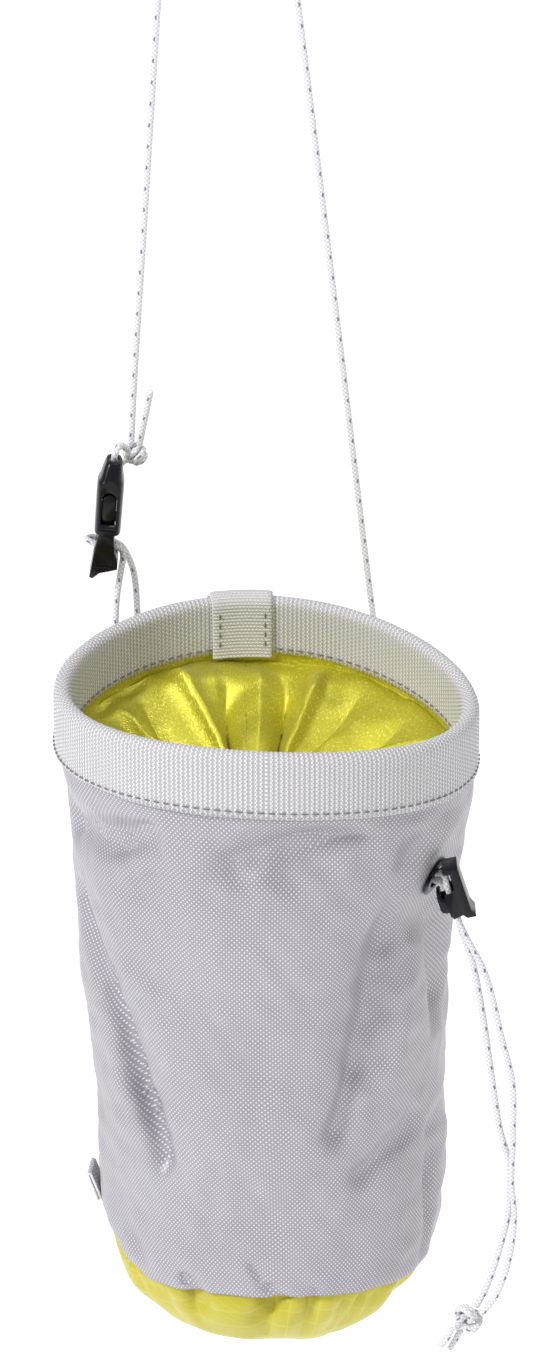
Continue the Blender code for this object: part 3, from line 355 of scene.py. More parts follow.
# Draw cord's routes, from the lock's centre
DRAW_RIGHT_ROUTE = (
    (0.0004, -0.00115, -0.0012),
    (0.0018, -0.00115, -0.0058),
    (0.0045, -0.00115, -0.0118),
    (0.0099, -0.0012, -0.0230),
    (0.0152, -0.0012, -0.0443),
    (0.0184, -0.0012, -0.0581),
    (0.0189, -0.0012, -0.0766),
    (0.0187, -0.0012, -0.0905),
    (0.0198, -0.0012, -0.1033),
    (0.0180, -0.0012, -0.1188),
    (0.0146, -0.00115, -0.1293),
    (0.0105, -0.00115, -0.1352),
)
DRAW_LEFT_ROUTE = (
    (0.0004, 0.00115, -0.0012),
    (0.0017, 0.00115, -0.0058),
    (0.0033, 0.00115, -0.0115),
    (0.0062, 0.0012, -0.0200),
    (0.0096, 0.0012, -0.0377),
    (0.0119, 0.0012, -0.0535),
    (0.0151, 0.0012, -0.0743),
    (0.0180, 0.0012, -0.0860),
    (0.0183, 0.0012, -0.1009),
    (0.0156, 0.0012, -0.1151),
    (0.0119, 0.00115, -0.1278),
    (0.0091, 0.00115, -0.1340),
)
DRAW_TAIL_LEFT_ROUTE = (
    (0.0019, -0.0008, -0.1401),
    (0.0007, -0.0012, -0.1429),
    (-0.0015, -0.0014, -0.1460),
)
DRAW_TAIL_RIGHT_ROUTE = (
    (0.0047, 0.0008, -0.1417),
    (0.0033, 0.0012, -0.1447),
    (0.0014, 0.0014, -0.1485),
)
DRAW_LEAD_ROUTE = (
    (0.0003, 0.0000, -0.0009),
    (-0.0007, 0.0000, 0.0024),
    (-0.0013, 0.0003, 0.0043),
    (-0.0016, 0.0016, 0.0054),
    (-0.0018, 0.0034, 0.0056),
    (-0.0021, 0.0052, 0.0050),
)
DRAW_INNER_DROP = 0.0462

# Sharper creases of the body cloth, besides FOLDS. Depths and widths in metres, and "lean" from -1 to 1
# makes the crease steeper on one side.
# Columns: azimuth_a, height_a, azimuth_b, height_b, depth, half_width, lean
CREASES = (
    (-86, 0.240, -46, 0.540, 0.0016, 0.0080, 0.5),
    (-60, 0.400, -34, 0.700, 0.0030, 0.0075, 0.6),
    (-60, 0.205, -35, 0.150, 0.0012, 0.0040, 0.3),
    (52, 0.160, 14, 0.680, 0.0014, 0.0110, 0.5),
    (66, 0.665, 67, 0.850, 0.0014, 0.0038, 0.3),
    (-62, 0.790, -48, 0.860, 0.0012, 0.0040, 0.2),
    (-31, 0.838, -31, 0.864, 0.0020, 0.0019, 0.0),
    (-9, 0.800, -2, 0.862, 0.0011, 0.0016, 0.5),
    (-2, 0.842, -1, 0.866, 0.0012, 0.0020, 0.0),
    (14, 0.848, 13, 0.868, 0.0007, 0.0018, 0.0),
    (-24, 0.180, -50, 0.250, 0.0016, 0.0060, 0.4),
    (24, 0.150, -4, 0.205, 0.0010, 0.0055, -0.4),
    (-52, 0.330, -22, 0.400, 0.0010, 0.0080, 0.3),
    (-14, 0.640, 6, 0.780, 0.0012, 0.0130, 0.2),
    (-30, 0.700, -12, 0.760, 0.0006, 0.0080, 0.0),
    (8, 0.240, -14, 0.330, 0.0006, 0.0090, 0.0),
    (150, 0.290, 170, 0.520, 0.0018, 0.0045, 0.4),
    (206, 0.350, 193, 0.640, 0.0018, 0.0045, -0.4),
    (228, 0.300, 248, 0.480, 0.0016, 0.0045, 0.3),
    (110, 0.400, 128, 0.640, 0.0016, 0.0045, -0.3),
    (176, 0.700, 186, 0.760, 0.0012, 0.0035, 0.0),
    (96, 0.200, 120, 0.300, 0.0012, 0.0050, 0.3),
)
CREASE_FADE = 0.42
FOLD_BLEND = 3.0
CREASE_SCALE = 1.5
CREASE_START = 0.3

# Folds of the satin: azimuth at the edge and at the neck, height over the funnel at the middle, half
# width in degrees at the edge, the reach where it starts, and how it leans
# Columns: azimuth_edge, azimuth_neck, height, half_width, start, lean
LINING_PLEATS = (
    (182.5, 180.0, 0.0022, 6.0, 1.00, 0.3),
    (174.0, 166.0, -0.0052, 6.5, 0.92, -0.4),
    (190.5, 206.0, -0.0050, 6.0, 0.82, 0.3),
    (199.0, 199.0, 0.0018, 7.0, 1.00, 0.0),
    (213.0, 206.0, 0.0046, 6.5, 1.00, -0.6),
    (226.0, 234.0, -0.0062, 9.0, 0.90, 0.5),
    (239.0, 236.0, 0.0040, 6.0, 0.96, -0.5),
    (252.0, 258.0, -0.0040, 8.0, 0.88, 0.3),
    (268.0, 266.0, 0.0030, 8.0, 1.00, 0.0),
    (161.5, 158.0, 0.0048, 6.0, 1.00, 0.6),
    (145.0, 151.0, -0.0030, 7.0, 0.95, -0.4),
    (137.0, 142.0, 0.0024, 7.0, 0.95, 0.3),
    (120.0, 126.0, -0.0046, 8.0, 0.86, -0.4),
    (110.0, 118.0, 0.0034, 6.0, 0.92, 0.5),
    (96.0, 98.0, -0.0036, 8.0, 0.92, 0.0),
    (80.0, 78.0, 0.0034, 8.0, 1.00, 0.4),
    (62.0, 60.0, -0.0040, 8.0, 0.92, 0.2),
    (44.0, 46.0, 0.0036, 8.0, 1.00, -0.4),
    (27.0, 24.0, -0.0038, 8.0, 0.92, 0.0),
    (8.0, 10.0, 0.0036, 8.0, 1.00, 0.4),
    (-11.0, -8.0, -0.0040, 8.0, 0.92, 0.2),
    (-28.0, -30.0, 0.0034, 8.0, 1.00, -0.4),
    (-46.0, -44.0, -0.0038, 8.0, 0.92, 0.0),
    (-62.0, -64.0, 0.0034, 8.0, 1.00, 0.3),
    (-78.0, -78.0, -0.0036, 8.0, 0.92, 0.2),
)
PLEAT_SCALE = 1.7
SATIN_FREE_START = 1.15
SATIN_FREE_FADE = 0.9
LINING_SEAM_ROWS = (1.6, 6.2)
LINING_SEAM_AZIMUTHS = (186.5, 188.5)
HEM_PLEAT_DEPTH = 0.00045
NECK_PLEATS = 21
NECK_PLEAT_DEPTH = 0.0013

# Gathers of the bottom that show below the seam. Columns: azimuth, depth, half_width, share of the way down
GATHERS = (
    (-31, 0.0016, 2.0, 0.30),
    (-2, 0.0018, 2.2, 0.42),
    (13, 0.0014, 2.0, 0.40),
    (28, 0.0013, 2.2, 0.38),
    (36, 0.0015, 2.4, 0.45),
    (43, 0.0009, 2.0, 0.35),
    (-46, 0.0008, 2.6, 0.40),
    (4, 0.0007, 1.8, 0.25),
)
LOOSE_GATHERS = 34
GATHER_SCALE = 3.4
SEAM_TUCK = 0.0014
SEAM_TUCK_REACH = 0.09
BOTTOM_SAG_START = 0.2
BOTTOM_NARROWEST = 0.25

# Webbing ribs and stitches
RIB_PITCH = 0.00145
DOT_PITCH = 2 * math.pi * SHELL_RADIUS / 245
RIB_HEIGHT = 0.00012
PATCH_RIB_PITCH = 0.00105
PATCH_RIB_HEIGHT = 0.00006
STITCH_LENGTH = 0.0022
STITCH_GAP = 0.0009
STITCH_RADIUS = 0.00028
STITCH_INSET = 0.0018
STITCH_SIDES = 6
SEWN_STITCH = (STITCH_LENGTH, STITCH_GAP, STITCH_RADIUS)
PATCH_STITCH = (0.0019, 0.0011, STITCH_RADIUS)
PATCH_STITCH_INSET = 0.0023
PATCH_STITCH_TOP = 0.0035
PATCH_STITCH_FOOT = 0.0008
SATIN_STITCH = (0.0017, 0.0010, 0.00016)
# One stitch from end to end. Columns: share of its length, width, lift
STITCH_SHAPE = (
    (0.00, 0.25, -0.90),
    (0.12, 0.80, -0.10),
    (0.35, 1.00, 0.35),
    (0.65, 1.00, 0.35),
    (0.88, 0.80, -0.10),
    (1.00, 0.25, -0.90),
)

# Small waves of the cloths: seed, count, longest, shortest, height
SHELL_WAVES = (3, 18, 0.060, 0.018, 0.00022)
SHELL_FINE_WAVES = (4, 22, 0.016, 0.006, 0.00010)
BOTTOM_WAVES = (5, 14, 0.040, 0.012, 0.00022)
BAND_SINK_WAVES = (8, 10, 0.060, 0.018, 0.00016)
BAND_EDGE_WAVES = (9, 8, 0.08, 0.02, 0.00022)
LINING_WAVES = (17, 26, 0.026, 0.007, 0.00024)

# Threads of the cloths
DOBBY_WEFT = 0.00072
DOBBY_WARP = 0.00050
RIPSTOP_THREAD = 0.00045
RIPSTOP_GRID = 0.0048
SATIN_TWILL = 0.00062
SATIN_STRETCH = 0.35
WEBBING_PICK = 0.00125

# Braid of the cords
BRAID_STEP = 0.00033
BRAID_SIDES = 24
BRAID_LOBES = 4
BRAID_PITCH = 0.0013
BRAID_HEIGHT = 0.045
FLECK_PITCH = 0.0064
BRAID_TURN = 0.0052
BRAID_STRAND = 0.25
BRAID_END = 0.86
CORD_PATH_STEP = 0.0012

# Camera and light
CAMERA_ELEVATION = 22.6
CAMERA_DISTANCE = 1.5
CAMERA_TARGET = np.array((0.0, 0.0, -0.003))
PHOTO_HEIGHT_PX = 1367
FOCAL_PX = 5166
SENSOR_HEIGHT = 24.0
CAMERA_REACH = 40.0
FLOOR_DROP = 0.62
FLOOR_SIZE = 14.0
FLOOR_COLOUR = (0.95, 0.95, 0.95, 1)
FLOOR_ROUGHNESS = 0.9
FLOOR_GLOW = 0.42
WHITE = (1.0, 1.0, 1.0, 1)
WORLD_STRENGTH = 0.38
SUN_STRENGTH = 1.45
SUN_SPREAD = 14.0
SUN_FROM = (-0.75, -0.58, 0.85)
# Columns: name, place, size, power, colour
LIGHTS = (
    ("key", (-1.2, -0.9, 0.9), 0.7, 8.0, (0.97, 0.98, 1.0)),
    ("fill", (1.6, -0.7, 0.5), 0.9, 1.6, (1.0, 0.99, 0.98)),
    ("top", (0.4, -0.35, 1.5), 0.7, 7.0, (1.0, 1.0, 1.0)),
)


def smooth_step(share):
    share = np.clip(share, 0.0, 1.0)
    return share * share * (3 - 2 * share)


def signed_power(value, power):
    return np.sign(value) * np.abs(value) ** power


def table_row(table, place):
    """Values of a table at fractional rows, on a smooth curve through its rows."""
    rows = np.array(table, float)
    last = len(rows) - 1
    row = np.clip(place.astype(int), 0, last - 1)
    share = (place - row)[..., None]
    before = rows[np.maximum(row - 1, 0)]
    start = rows[row]
    end = rows[row + 1]
    after = rows[np.minimum(row + 2, last)]
    return (
        start * (1 + 2 * share) * (1 - share) ** 2
        + (end - before) / 2 * share * (1 - share) ** 2
        + end * share * share * (3 - 2 * share)
        - (after - start) / 2 * share * share * (1 - share)
    )


def ring_value(table, azimuth):
    """Second column of a table of azimuths, eased between its rows, right round the bag."""
    rows = np.array(table, float)
    azimuth = np.asarray(azimuth, float) % 360
    index = np.searchsorted(rows[:, 0], azimuth, side="right") - 1
    following = (index + 1) % len(rows)
    span = (rows[following, 0] - rows[index, 0]) % 360
    share = smooth_step((azimuth - rows[index, 0]) / span)
    return rows[index, 1] + (rows[following, 1] - rows[index, 1]) * share


def rim_height(azimuth):
    angle = np.radians(azimuth)
    return RIM_MEAN + RIM_SADDLE * np.cos(2 * angle) + RIM_TILT * np.sin(angle)


def rim_share(drop):
    return 1 - smooth_step((drop - RIM_FADE_START) / (RIM_FADE_END - RIM_FADE_START))


def line_distance(azimuth, height, start, end):
    """Signed distance from a line on the bag, and how far along it the nearest point is."""
    away = (azimuth - start[0] + 180) % 360 - 180
    across = np.radians(away) * SHELL_RADIUS
    along_across = math.radians(end[0] - start[0]) * SHELL_RADIUS
    down = (height - start[1]) * BAG_HEIGHT
    along_down = (end[1] - start[1]) * BAG_HEIGHT
    length = math.hypot(along_across, along_down)
    share = np.clip((across * along_across + down * along_down) / length ** 2, 0, 1)
    distance = np.hypot(across - share * along_across, down - share * along_down)
    side = np.sign(across * along_down - down * along_across)
    return distance * side, share


def fold_depth(azimuth, height):
    """How far the folds push the cloth in. Valleys that meet run into each other at one depth."""
    valleys = np.zeros_like(azimuth)
    ridges = np.zeros_like(azimuth)
    for azimuth_a, height_a, azimuth_b, height_b, depth, half_width in FOLDS:
        distance, _ = line_distance(azimuth, height, (azimuth_a, height_a), (azimuth_b, height_b))
        push = abs(depth) * SHELL_RADIUS * np.exp(-((distance / (half_width * SHELL_RADIUS)) ** 2))
        if depth > 0:
            valleys += push ** FOLD_BLEND
        else:
            ridges += push
    return valleys ** (1 / FOLD_BLEND) - ridges


def crease_depth(azimuth, height):
    """The sharper creases, which run out at both ends."""
    total = np.zeros_like(azimuth)
    for azimuth_a, height_a, azimuth_b, height_b, depth, half_width, lean in CREASES:
        distance, share = line_distance(azimuth, height, (azimuth_a, height_a), (azimuth_b, height_b))
        width = half_width * np.where(distance > 0, 1 + lean, 1 - lean)
        ends = smooth_step(share / CREASE_FADE) * smooth_step((1 - share) / CREASE_FADE)
        total += depth * np.exp(-((np.abs(distance) / width) ** 1.4)) * (0.04 + 0.96 * ends)
    return total


def ripple(points, seed, waves, longest, shortest, height):
    """Small uneven waves of cloth at points in space, the same each run."""
    dice = np.random.default_rng(seed)
    total = np.zeros(points.shape[:-1])
    for _ in range(waves):
        heading = dice.normal(size=3)
        heading = heading / np.linalg.norm(heading)
        length = shortest * (longest / shortest) ** dice.uniform()
        phase = dice.uniform(0, 2 * math.pi)
        total += height * (length / longest) * np.sin(2 * math.pi * (points @ heading) / length + phase)
    return total


def plain_bag_points(azimuth, section):
    rows = table_row(SECTIONS, section)
    height, half_width, half_depth, centre_x, centre_y, square = np.moveaxis(rows, -1, 0)
    angle = np.radians(azimuth)
    side = signed_power(np.sin(angle), 2 / square)
    front = signed_power(np.cos(angle), 2 / square)
    drop = height * BAG_HEIGHT
    inward = fold_depth(azimuth, height) * np.minimum(1.0, half_width * 1.5)
    inward = inward * smooth_step((section - BAND_END) / 0.5)
    return np.stack((
        centre_x * SHELL_RADIUS + side * half_width * SHELL_RADIUS - np.sin(angle) * inward,
        centre_y * SHELL_RADIUS - front * half_depth * SHELL_RADIUS + np.cos(angle) * inward,
        rim_height(azimuth) * rim_share(drop) - drop,
    ), axis=-1)


def eyelet_axis():
    facing = math.radians(EYELET_FACING)
    dip = math.radians(EYELET_DIP)
    return np.array((
        math.sin(facing) * math.cos(dip),
        -math.cos(facing) * math.cos(dip),
        -math.sin(dip),
    ))


def eyelet_centre():
    face = plain_bag_points(np.array([EYELET_AZIMUTH]), np.array([EYELET_SECTION]))[0]
    return face - eyelet_axis() * EYELET_SUNK


def lock_centre():
    return eyelet_centre() + LOCK_REACH


def from_lock(route):
    return lock_centre() + np.array(route)


def bag_points(azimuth, section):
    """Points of the bag's outer face, flat round the eyelet."""
    points = plain_bag_points(azimuth, section)
    centre = eyelet_centre()
    axis = eyelet_axis()
    away = points - centre
    distance = np.linalg.norm(away, axis=-1)
    share = 1 - smooth_step((distance - EYELET_FLAT_RADIUS) / EYELET_FLAT_FADE)
    return points - axis * ((away @ axis) * share)[..., None]


def bag_normals(azimuth, section):
    across = bag_points(azimuth + 1.0, section) - bag_points(azimuth - 1.0, section)
    lower = bag_points(azimuth, np.minimum(section + 0.04, LAST_SECTION))
    upper = bag_points(azimuth, np.maximum(section - 0.04, 0))
    normal = np.cross(lower - upper, across)
    return normal / np.maximum(np.linalg.norm(normal, axis=-1), 1e-12)[..., None]


def bag_offset(azimuth, section, distance):
    azimuth = np.atleast_1d(np.asarray(azimuth, float))
    section = np.atleast_1d(np.asarray(section, float)) + np.zeros_like(azimuth)
    offset = np.asarray(distance, float) + np.zeros_like(azimuth)
    return bag_points(azimuth, section) + bag_normals(azimuth, section) * offset[..., None]


def even_sections(start, end, count):
    """Sections from start to end, evenly spaced in height. start and end are one value a column."""
    fine = np.linspace(0, LAST_SECTION, 1201)
    heights = table_row(SECTIONS, fine)[:, 0]
    top = np.interp(start, fine, heights)
    foot = np.interp(end, fine, heights)
    share = np.linspace(0, 1, count)[:, None]
    return np.interp(top + (foot - top) * share, heights, fine)


class Paint:
    """One material's nodes. An input can be a number, a colour or another node's output."""

    def __init__(self, name, slot):
        self.material = bpy.data.materials.new(name)
        self.material.use_nodes = True
        self.nodes = self.material.node_tree.nodes
        self.links = self.material.node_tree.links
        self.shader = self.nodes["Principled BSDF"]
        self.slot = slot

    def node(self, kind, inputs=None, **settings):
        made = self.nodes.new(kind)
        for setting, value in settings.items():
            setattr(made, setting, value)
        for socket, value in (inputs or {}).items():
            self.feed(made.inputs[socket], value)
        return made

    def feed(self, socket, value):
        if isinstance(value, bpy.types.NodeSocket):
            self.links.new(value, socket)
        elif isinstance(value, tuple) and len(value) == 3 and socket.type == "RGBA":
            socket.default_value = (*value, 1.0)
        else:
            socket.default_value = value

    def math(self, operation, *values):
        made = self.node("ShaderNodeMath", operation=operation)
        for index, value in enumerate(values):
            self.feed(made.inputs[index], value)
        return made.outputs[0]

    def uv(self):
        """The cloth's own lengths, in metres: across and along."""
        made = self.node("ShaderNodeUVMap", uv_map="UVMap")
        split = self.node("ShaderNodeSeparateXYZ", {"Vector": made.outputs["UV"]})
        return split.outputs["X"], split.outputs["Y"]

    def wave(self, length, pitch, shift=0.0):
        """A cosine from 0 to 1 along a length."""
        turns = self.math("MULTIPLY_ADD", length, 2 * math.pi / pitch, shift)
        return self.math("MULTIPLY_ADD", self.math("COSINE", turns), 0.5, 0.5)

    def noise(self, scale, detail, roughness, vector=None):
        made = self.node("ShaderNodeTexNoise")
        made.inputs["Scale"].default_value = scale
        made.inputs["Detail"].default_value = detail
        made.inputs["Roughness"].default_value = roughness
        self.feed(made.inputs["Vector"], vector or self.place())
        return made.outputs["Fac"]

    def place(self):
        return self.node("ShaderNodeTexCoord").outputs["Object"]

    def ramp(self, value, low, high):
        """0 below low and 1 above high, eased between."""
        made = self.node("ShaderNodeMapRange", interpolation_type="SMOOTHSTEP")
        self.feed(made.inputs["Value"], value)
        made.inputs["From Min"].default_value = low
        made.inputs["From Max"].default_value = high
        return made.outputs["Result"]

    def mix(self, share, first, second):
        made = self.node("ShaderNodeMix", data_type="RGBA")
        self.feed(made.inputs["Factor"], share)
        self.feed(made.inputs["A"], first)
        self.feed(made.inputs["B"], second)
        return made.outputs["Result"]

    def bump(self, height, distance, strength):
        made = self.node("ShaderNodeBump")
        made.inputs["Distance"].default_value = distance
        made.inputs["Strength"].default_value = strength
        self.feed(made.inputs["Height"], height)
        return made.outputs["Normal"]

    def finish(self, **inputs):
        """Set the shader's inputs by name, with spaces for underscores."""
        for name, value in inputs.items():
            self.feed(self.shader.inputs[name.replace("_", " ")], value)
        return self


def grey_dobby():
    """Lilac-grey cloth with small raised white floats in a diagonal grid."""
    paint = Paint("grey_dobby_cloth", "grey_cloth")
    across, along = paint.uv()
    first = paint.wave(paint.math("ADD", across, along), DOT_PITCH)
    second = paint.wave(paint.math("SUBTRACT", across, along), DOT_PITCH)
    dots = paint.ramp(paint.math("MULTIPLY", first, second), low=0.42, high=0.80)
    ribs = paint.wave(along, DOBBY_WEFT)
    warp = paint.wave(across, DOBBY_WARP)
    weave = paint.math("MULTIPLY", ribs, warp)
    patchy = paint.noise(scale=38.0, detail=4.0, roughness=0.55)
    fine = paint.noise(scale=900.0, detail=2.0, roughness=0.6)
    ground = paint.mix(patchy, (0.280, 0.262, 0.300), (0.400, 0.382, 0.425))
    ground = paint.mix(paint.math("MULTIPLY", weave, 0.30), ground, (0.50, 0.49, 0.54))
    colour = paint.mix(paint.math("MULTIPLY", dots, 0.80), ground, (0.92, 0.92, 0.97))
    height = paint.math("MULTIPLY_ADD", dots, 1.0, paint.math("MULTIPLY", weave, 0.45))
    height = paint.math("MULTIPLY_ADD", fine, 0.5, height)
    return paint.finish(
        Base_Color=colour,
        Roughness=paint.math("MULTIPLY_ADD", dots, -0.10, 0.44),
        Normal=paint.bump(height, distance=0.00012, strength=0.6),
        Metallic=0.22,
        Sheen_Weight=0.15,
        Sheen_Roughness=0.35,
        Specular_IOR_Level=0.8,
    )


def yellow_ripstop():
    """Yellow-green bottom cloth with a fine ripstop grid."""
    paint = Paint("yellow_ripstop_cloth", "yellow_cloth")
    across, along = paint.uv()
    warp = paint.wave(across, RIPSTOP_THREAD)
    weft = paint.wave(along, RIPSTOP_THREAD)
    grid = paint.math(
        "MAXIMUM",
        paint.ramp(paint.wave(across, RIPSTOP_GRID), low=0.93, high=1.0),
        paint.ramp(paint.wave(along, RIPSTOP_GRID), low=0.93, high=1.0),
    )
    patchy = paint.noise(scale=60.0, detail=4.0, roughness=0.6)
    colour = paint.mix(patchy, (0.490, 0.430, 0.010), (0.630, 0.560, 0.026))
    colour = paint.mix(paint.math("MULTIPLY", grid, 0.22), colour, (0.76, 0.74, 0.16))
    height = paint.math("MULTIPLY_ADD", grid, 0.9, paint.math("MULTIPLY", warp, weft))
    return paint.finish(
        Base_Color=colour,
        Roughness=0.40,
        Normal=paint.bump(height, distance=0.00008, strength=0.6),
        Sheen_Weight=0.10,
        Metallic=0.12,
        Specular_IOR_Level=0.7,
    )


def yellow_satin():
    """Lime-yellow lining with long floats that break up the light: raised in the bump, and painted pale as
    glints in the colour.
    """
    paint = Paint("yellow_satin_cloth", "yellow_satin")
    across, along = paint.uv()
    floats = paint.node("ShaderNodeCombineXYZ")
    paint.feed(floats.inputs["X"], across)
    paint.feed(floats.inputs["Y"], paint.math("MULTIPLY", along, SATIN_STRETCH))
    float_relief_and_glints = paint.noise(scale=2600.0, detail=2.0, roughness=0.65, vector=floats.outputs["Vector"])
    twill = paint.wave(paint.math("ADD", across, along), SATIN_TWILL)
    patchy = paint.noise(scale=48.0, detail=3.0, roughness=0.5)
    colour = paint.mix(patchy, (0.460, 0.420, 0.001), (0.700, 0.640, 0.002))
    # Painted glints: the floats are painted pale yellow-white in the colour, as if they caught the light; the
    # same mask also raises them in the bump.
    colour = paint.mix(paint.ramp(float_relief_and_glints, low=0.52, high=0.70), colour, (0.93, 0.90, 0.24))
    height = paint.math("MULTIPLY_ADD", float_relief_and_glints, 1.6, paint.math("MULTIPLY", twill, 0.5))
    return paint.finish(
        Base_Color=colour,
        Roughness=0.30,
        Normal=paint.bump(height, distance=0.00010, strength=0.8),
        Metallic=0.5,
        Specular_IOR_Level=1.0,
        Sheen_Weight=0.1,
        Anisotropic=0.4,
    )


def webbing(name, slot, light, dark, pitch=RIB_PITCH):
    """Ribbed webbing: plain weave over the ribs that the mesh has, with painted shade in the gaps between
    ribs and picks.
    """
    paint = Paint(name, slot)
    across, along = paint.uv()
    rib = paint.wave(across, pitch)
    rib_number = paint.math("FLOOR", paint.math("DIVIDE", across, pitch))
    shift = paint.math("MULTIPLY", rib_number, math.pi)
    pick = paint.math("MULTIPLY_ADD", along, 2 * math.pi / WEBBING_PICK, shift)
    picks = paint.math("MULTIPLY_ADD", paint.math("COSINE", pick), 0.5, 0.5)
    rib_tops = paint.ramp(rib, low=0.05, high=0.75)
    weave = paint.math("MULTIPLY", rib_tops, paint.ramp(picks, low=0.06, high=0.55))
    grime = paint.noise(scale=30.0, detail=4.0, roughness=0.6)
    fibre = paint.noise(scale=1500.0, detail=2.0, roughness=0.6)
    # Painted shade: the dark colour fills the gaps between the ribs and picks; the light colour is the
    # webbing's own, on the rib tops.
    colour = paint.mix(weave, dark, light)
    colour = paint.mix(paint.math("MULTIPLY", grime, 0.16), colour, (0.62, 0.60, 0.58))
    height = paint.math("MULTIPLY_ADD", fibre, 0.35, weave)
    return paint.finish(
        Base_Color=colour,
        Roughness=0.78,
        Normal=paint.bump(height, distance=0.00022, strength=0.9),
        Sheen_Weight=0.12,
        Specular_IOR_Level=0.3,
    )


def white_braid():
    """Braided cord with two tracer yarns that show as dark flecks, and painted shade in the grooves between
    its strands.
    """
    paint = Paint("white_braid_cord", "white_braid")
    around, along = paint.uv()
    offset = paint.math("MULTIPLY_ADD", around, 2.0, 0.12)
    line = paint.math("ABSOLUTE", paint.math("SUBTRACT", paint.math("FRACT", offset), 0.5))
    near_line = paint.math("SUBTRACT", 1.0, paint.ramp(line, low=0.07, high=0.13))
    step = paint.math("DIVIDE", along, FLECK_PITCH)
    stagger = paint.math("MULTIPLY_ADD", paint.math("FLOOR", offset), 0.5, step)
    beat = paint.math("ABSOLUTE", paint.math("SUBTRACT", paint.math("FRACT", stagger), 0.5))
    near_beat = paint.math("SUBTRACT", 1.0, paint.ramp(beat, low=0.07, high=0.11))
    fleck = paint.math("MULTIPLY", near_line, near_beat)
    turns = paint.math("DIVIDE", along, BRAID_TURN)
    rising = paint.wave(paint.math("ADD", around, turns), BRAID_STRAND)
    falling = paint.wave(paint.math("SUBTRACT", around, turns), BRAID_STRAND)
    strand = paint.math("MULTIPLY", rising, falling)
    fibre = paint.noise(scale=1800.0, detail=2.0, roughness=0.6)
    # Painted shade: darker grey in the grooves between the braid's strands, and the cord's own white on the
    # strands.
    colour = paint.mix(paint.ramp(strand, low=0.0, high=0.30), (0.60, 0.60, 0.63), (0.88, 0.88, 0.91))
    colour = paint.mix(paint.math("MULTIPLY", fleck, 0.85), colour, (0.10, 0.10, 0.13))
    return paint.finish(
        Base_Color=colour,
        Roughness=0.62,
        Normal=paint.bump(paint.math("MULTIPLY_ADD", fibre, 0.5, strand), distance=0.00008, strength=0.5),
        Sheen_Weight=0.15,
        Specular_IOR_Level=0.4,
    )


def black_plastic():
    """Glossy moulded plastic with a faint flow texture."""
    paint = Paint("black_moulded_plastic", "black_plastic")
    flow = paint.noise(scale=160.0, detail=3.0, roughness=0.5)
    grain = paint.noise(scale=2400.0, detail=2.0, roughness=0.5)
    colour = paint.mix(flow, (0.003, 0.003, 0.004), (0.006, 0.006, 0.009))
    return paint.finish(
        Base_Color=colour,
        Roughness=paint.math("MULTIPLY_ADD", flow, 0.12, 0.20),
        Normal=paint.bump(paint.math("MULTIPLY_ADD", grain, 0.3, flow), distance=0.00004, strength=0.3),
        Specular_IOR_Level=0.30,
    )


def thread(name, slot, colour):
    """Sewing thread, its fibres catching the light."""
    paint = Paint(name, slot)
    fibre = paint.noise(scale=2500.0, detail=2.0, roughness=0.6)
    lighter = tuple(min(1.0, channel * 1.5) for channel in colour)
    return paint.finish(
        Base_Color=paint.mix(fibre, colour, lighter),
        Roughness=0.6,
        Normal=paint.bump(fibre, distance=0.00008, strength=0.6),
    )


def finished(made, paint, body="bag", replaces=()):
    """Give a piece its material and its CAD body, and hide the CAD nodes that it stands for."""
    made.data.materials.clear()
    made.data.materials.append(paint.material)
    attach(made, body)
    if replaces:
        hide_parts(*replaces)
    return made


def mesh_object(name, points, faces, corner_uv=None, smooth=True):
    """A mesh in the row's frame from points in the mouth's frame, with its faces turned outward."""
    mesh = bpy.data.meshes.new(name)
    mesh.from_pydata((np.asarray(points) - HANG_POINT).tolist(), [], [tuple(face) for face in faces])
    if corner_uv is not None:
        layer = mesh.uv_layers.new(name="UVMap")
        layer.data.foreach_set("uv", np.asarray(corner_uv, np.float32).ravel())
    turn_outward(mesh)
    if smooth:
        mesh.shade_smooth()
    made = bpy.data.objects.new(name, mesh)
    bpy.context.scene.collection.objects.link(made)
    return made


def turn_outward(mesh):
    work = bmesh.new()
    work.from_mesh(mesh)
    bmesh.ops.recalc_face_normals(work, faces=work.faces)
    work.to_mesh(mesh)
    work.free()


def grid_faces(rows, columns, closed_rows, closed_columns):
    """Quads of a grid, and the grid place of each corner before it wraps."""
    row_count = rows if closed_rows else rows - 1
    column_count = columns if closed_columns else columns - 1
    row, column = np.meshgrid(np.arange(row_count), np.arange(column_count), indexing="ij")
    row = row.ravel()
    column = column.ravel()
    corners = [(row + 1, column), (row + 1, column + 1), (row, column + 1), (row, column)]
    faces = np.stack([r % rows * columns + c % columns for r, c in corners], axis=1)
    places = np.stack([np.stack((r, c), axis=1) for r, c in corners], axis=1)
    return faces, places


def corner_lengths(across, along, places):
    """The cloth's lengths at each corner of the faces."""
    row = places[..., 0]
    column = places[..., 1]
    return np.stack((across[row, column], along[row, column]), axis=-1).reshape(-1, 2)


def grid_piece(name, grid, across, along):
    """A skin over a grid of points that closes both ways. across and along are the cloth's lengths at its
    rows and columns, with one more than the grid has."""
    rows, columns = grid.shape[:2]
    faces, places = grid_faces(rows, columns, True, True)
    across = np.broadcast_to(across, (rows + 1, columns + 1))
    along = np.broadcast_to(along, (rows + 1, columns + 1))
    return mesh_object(name, grid.reshape(-1, 3), faces, corner_lengths(across, along, places))


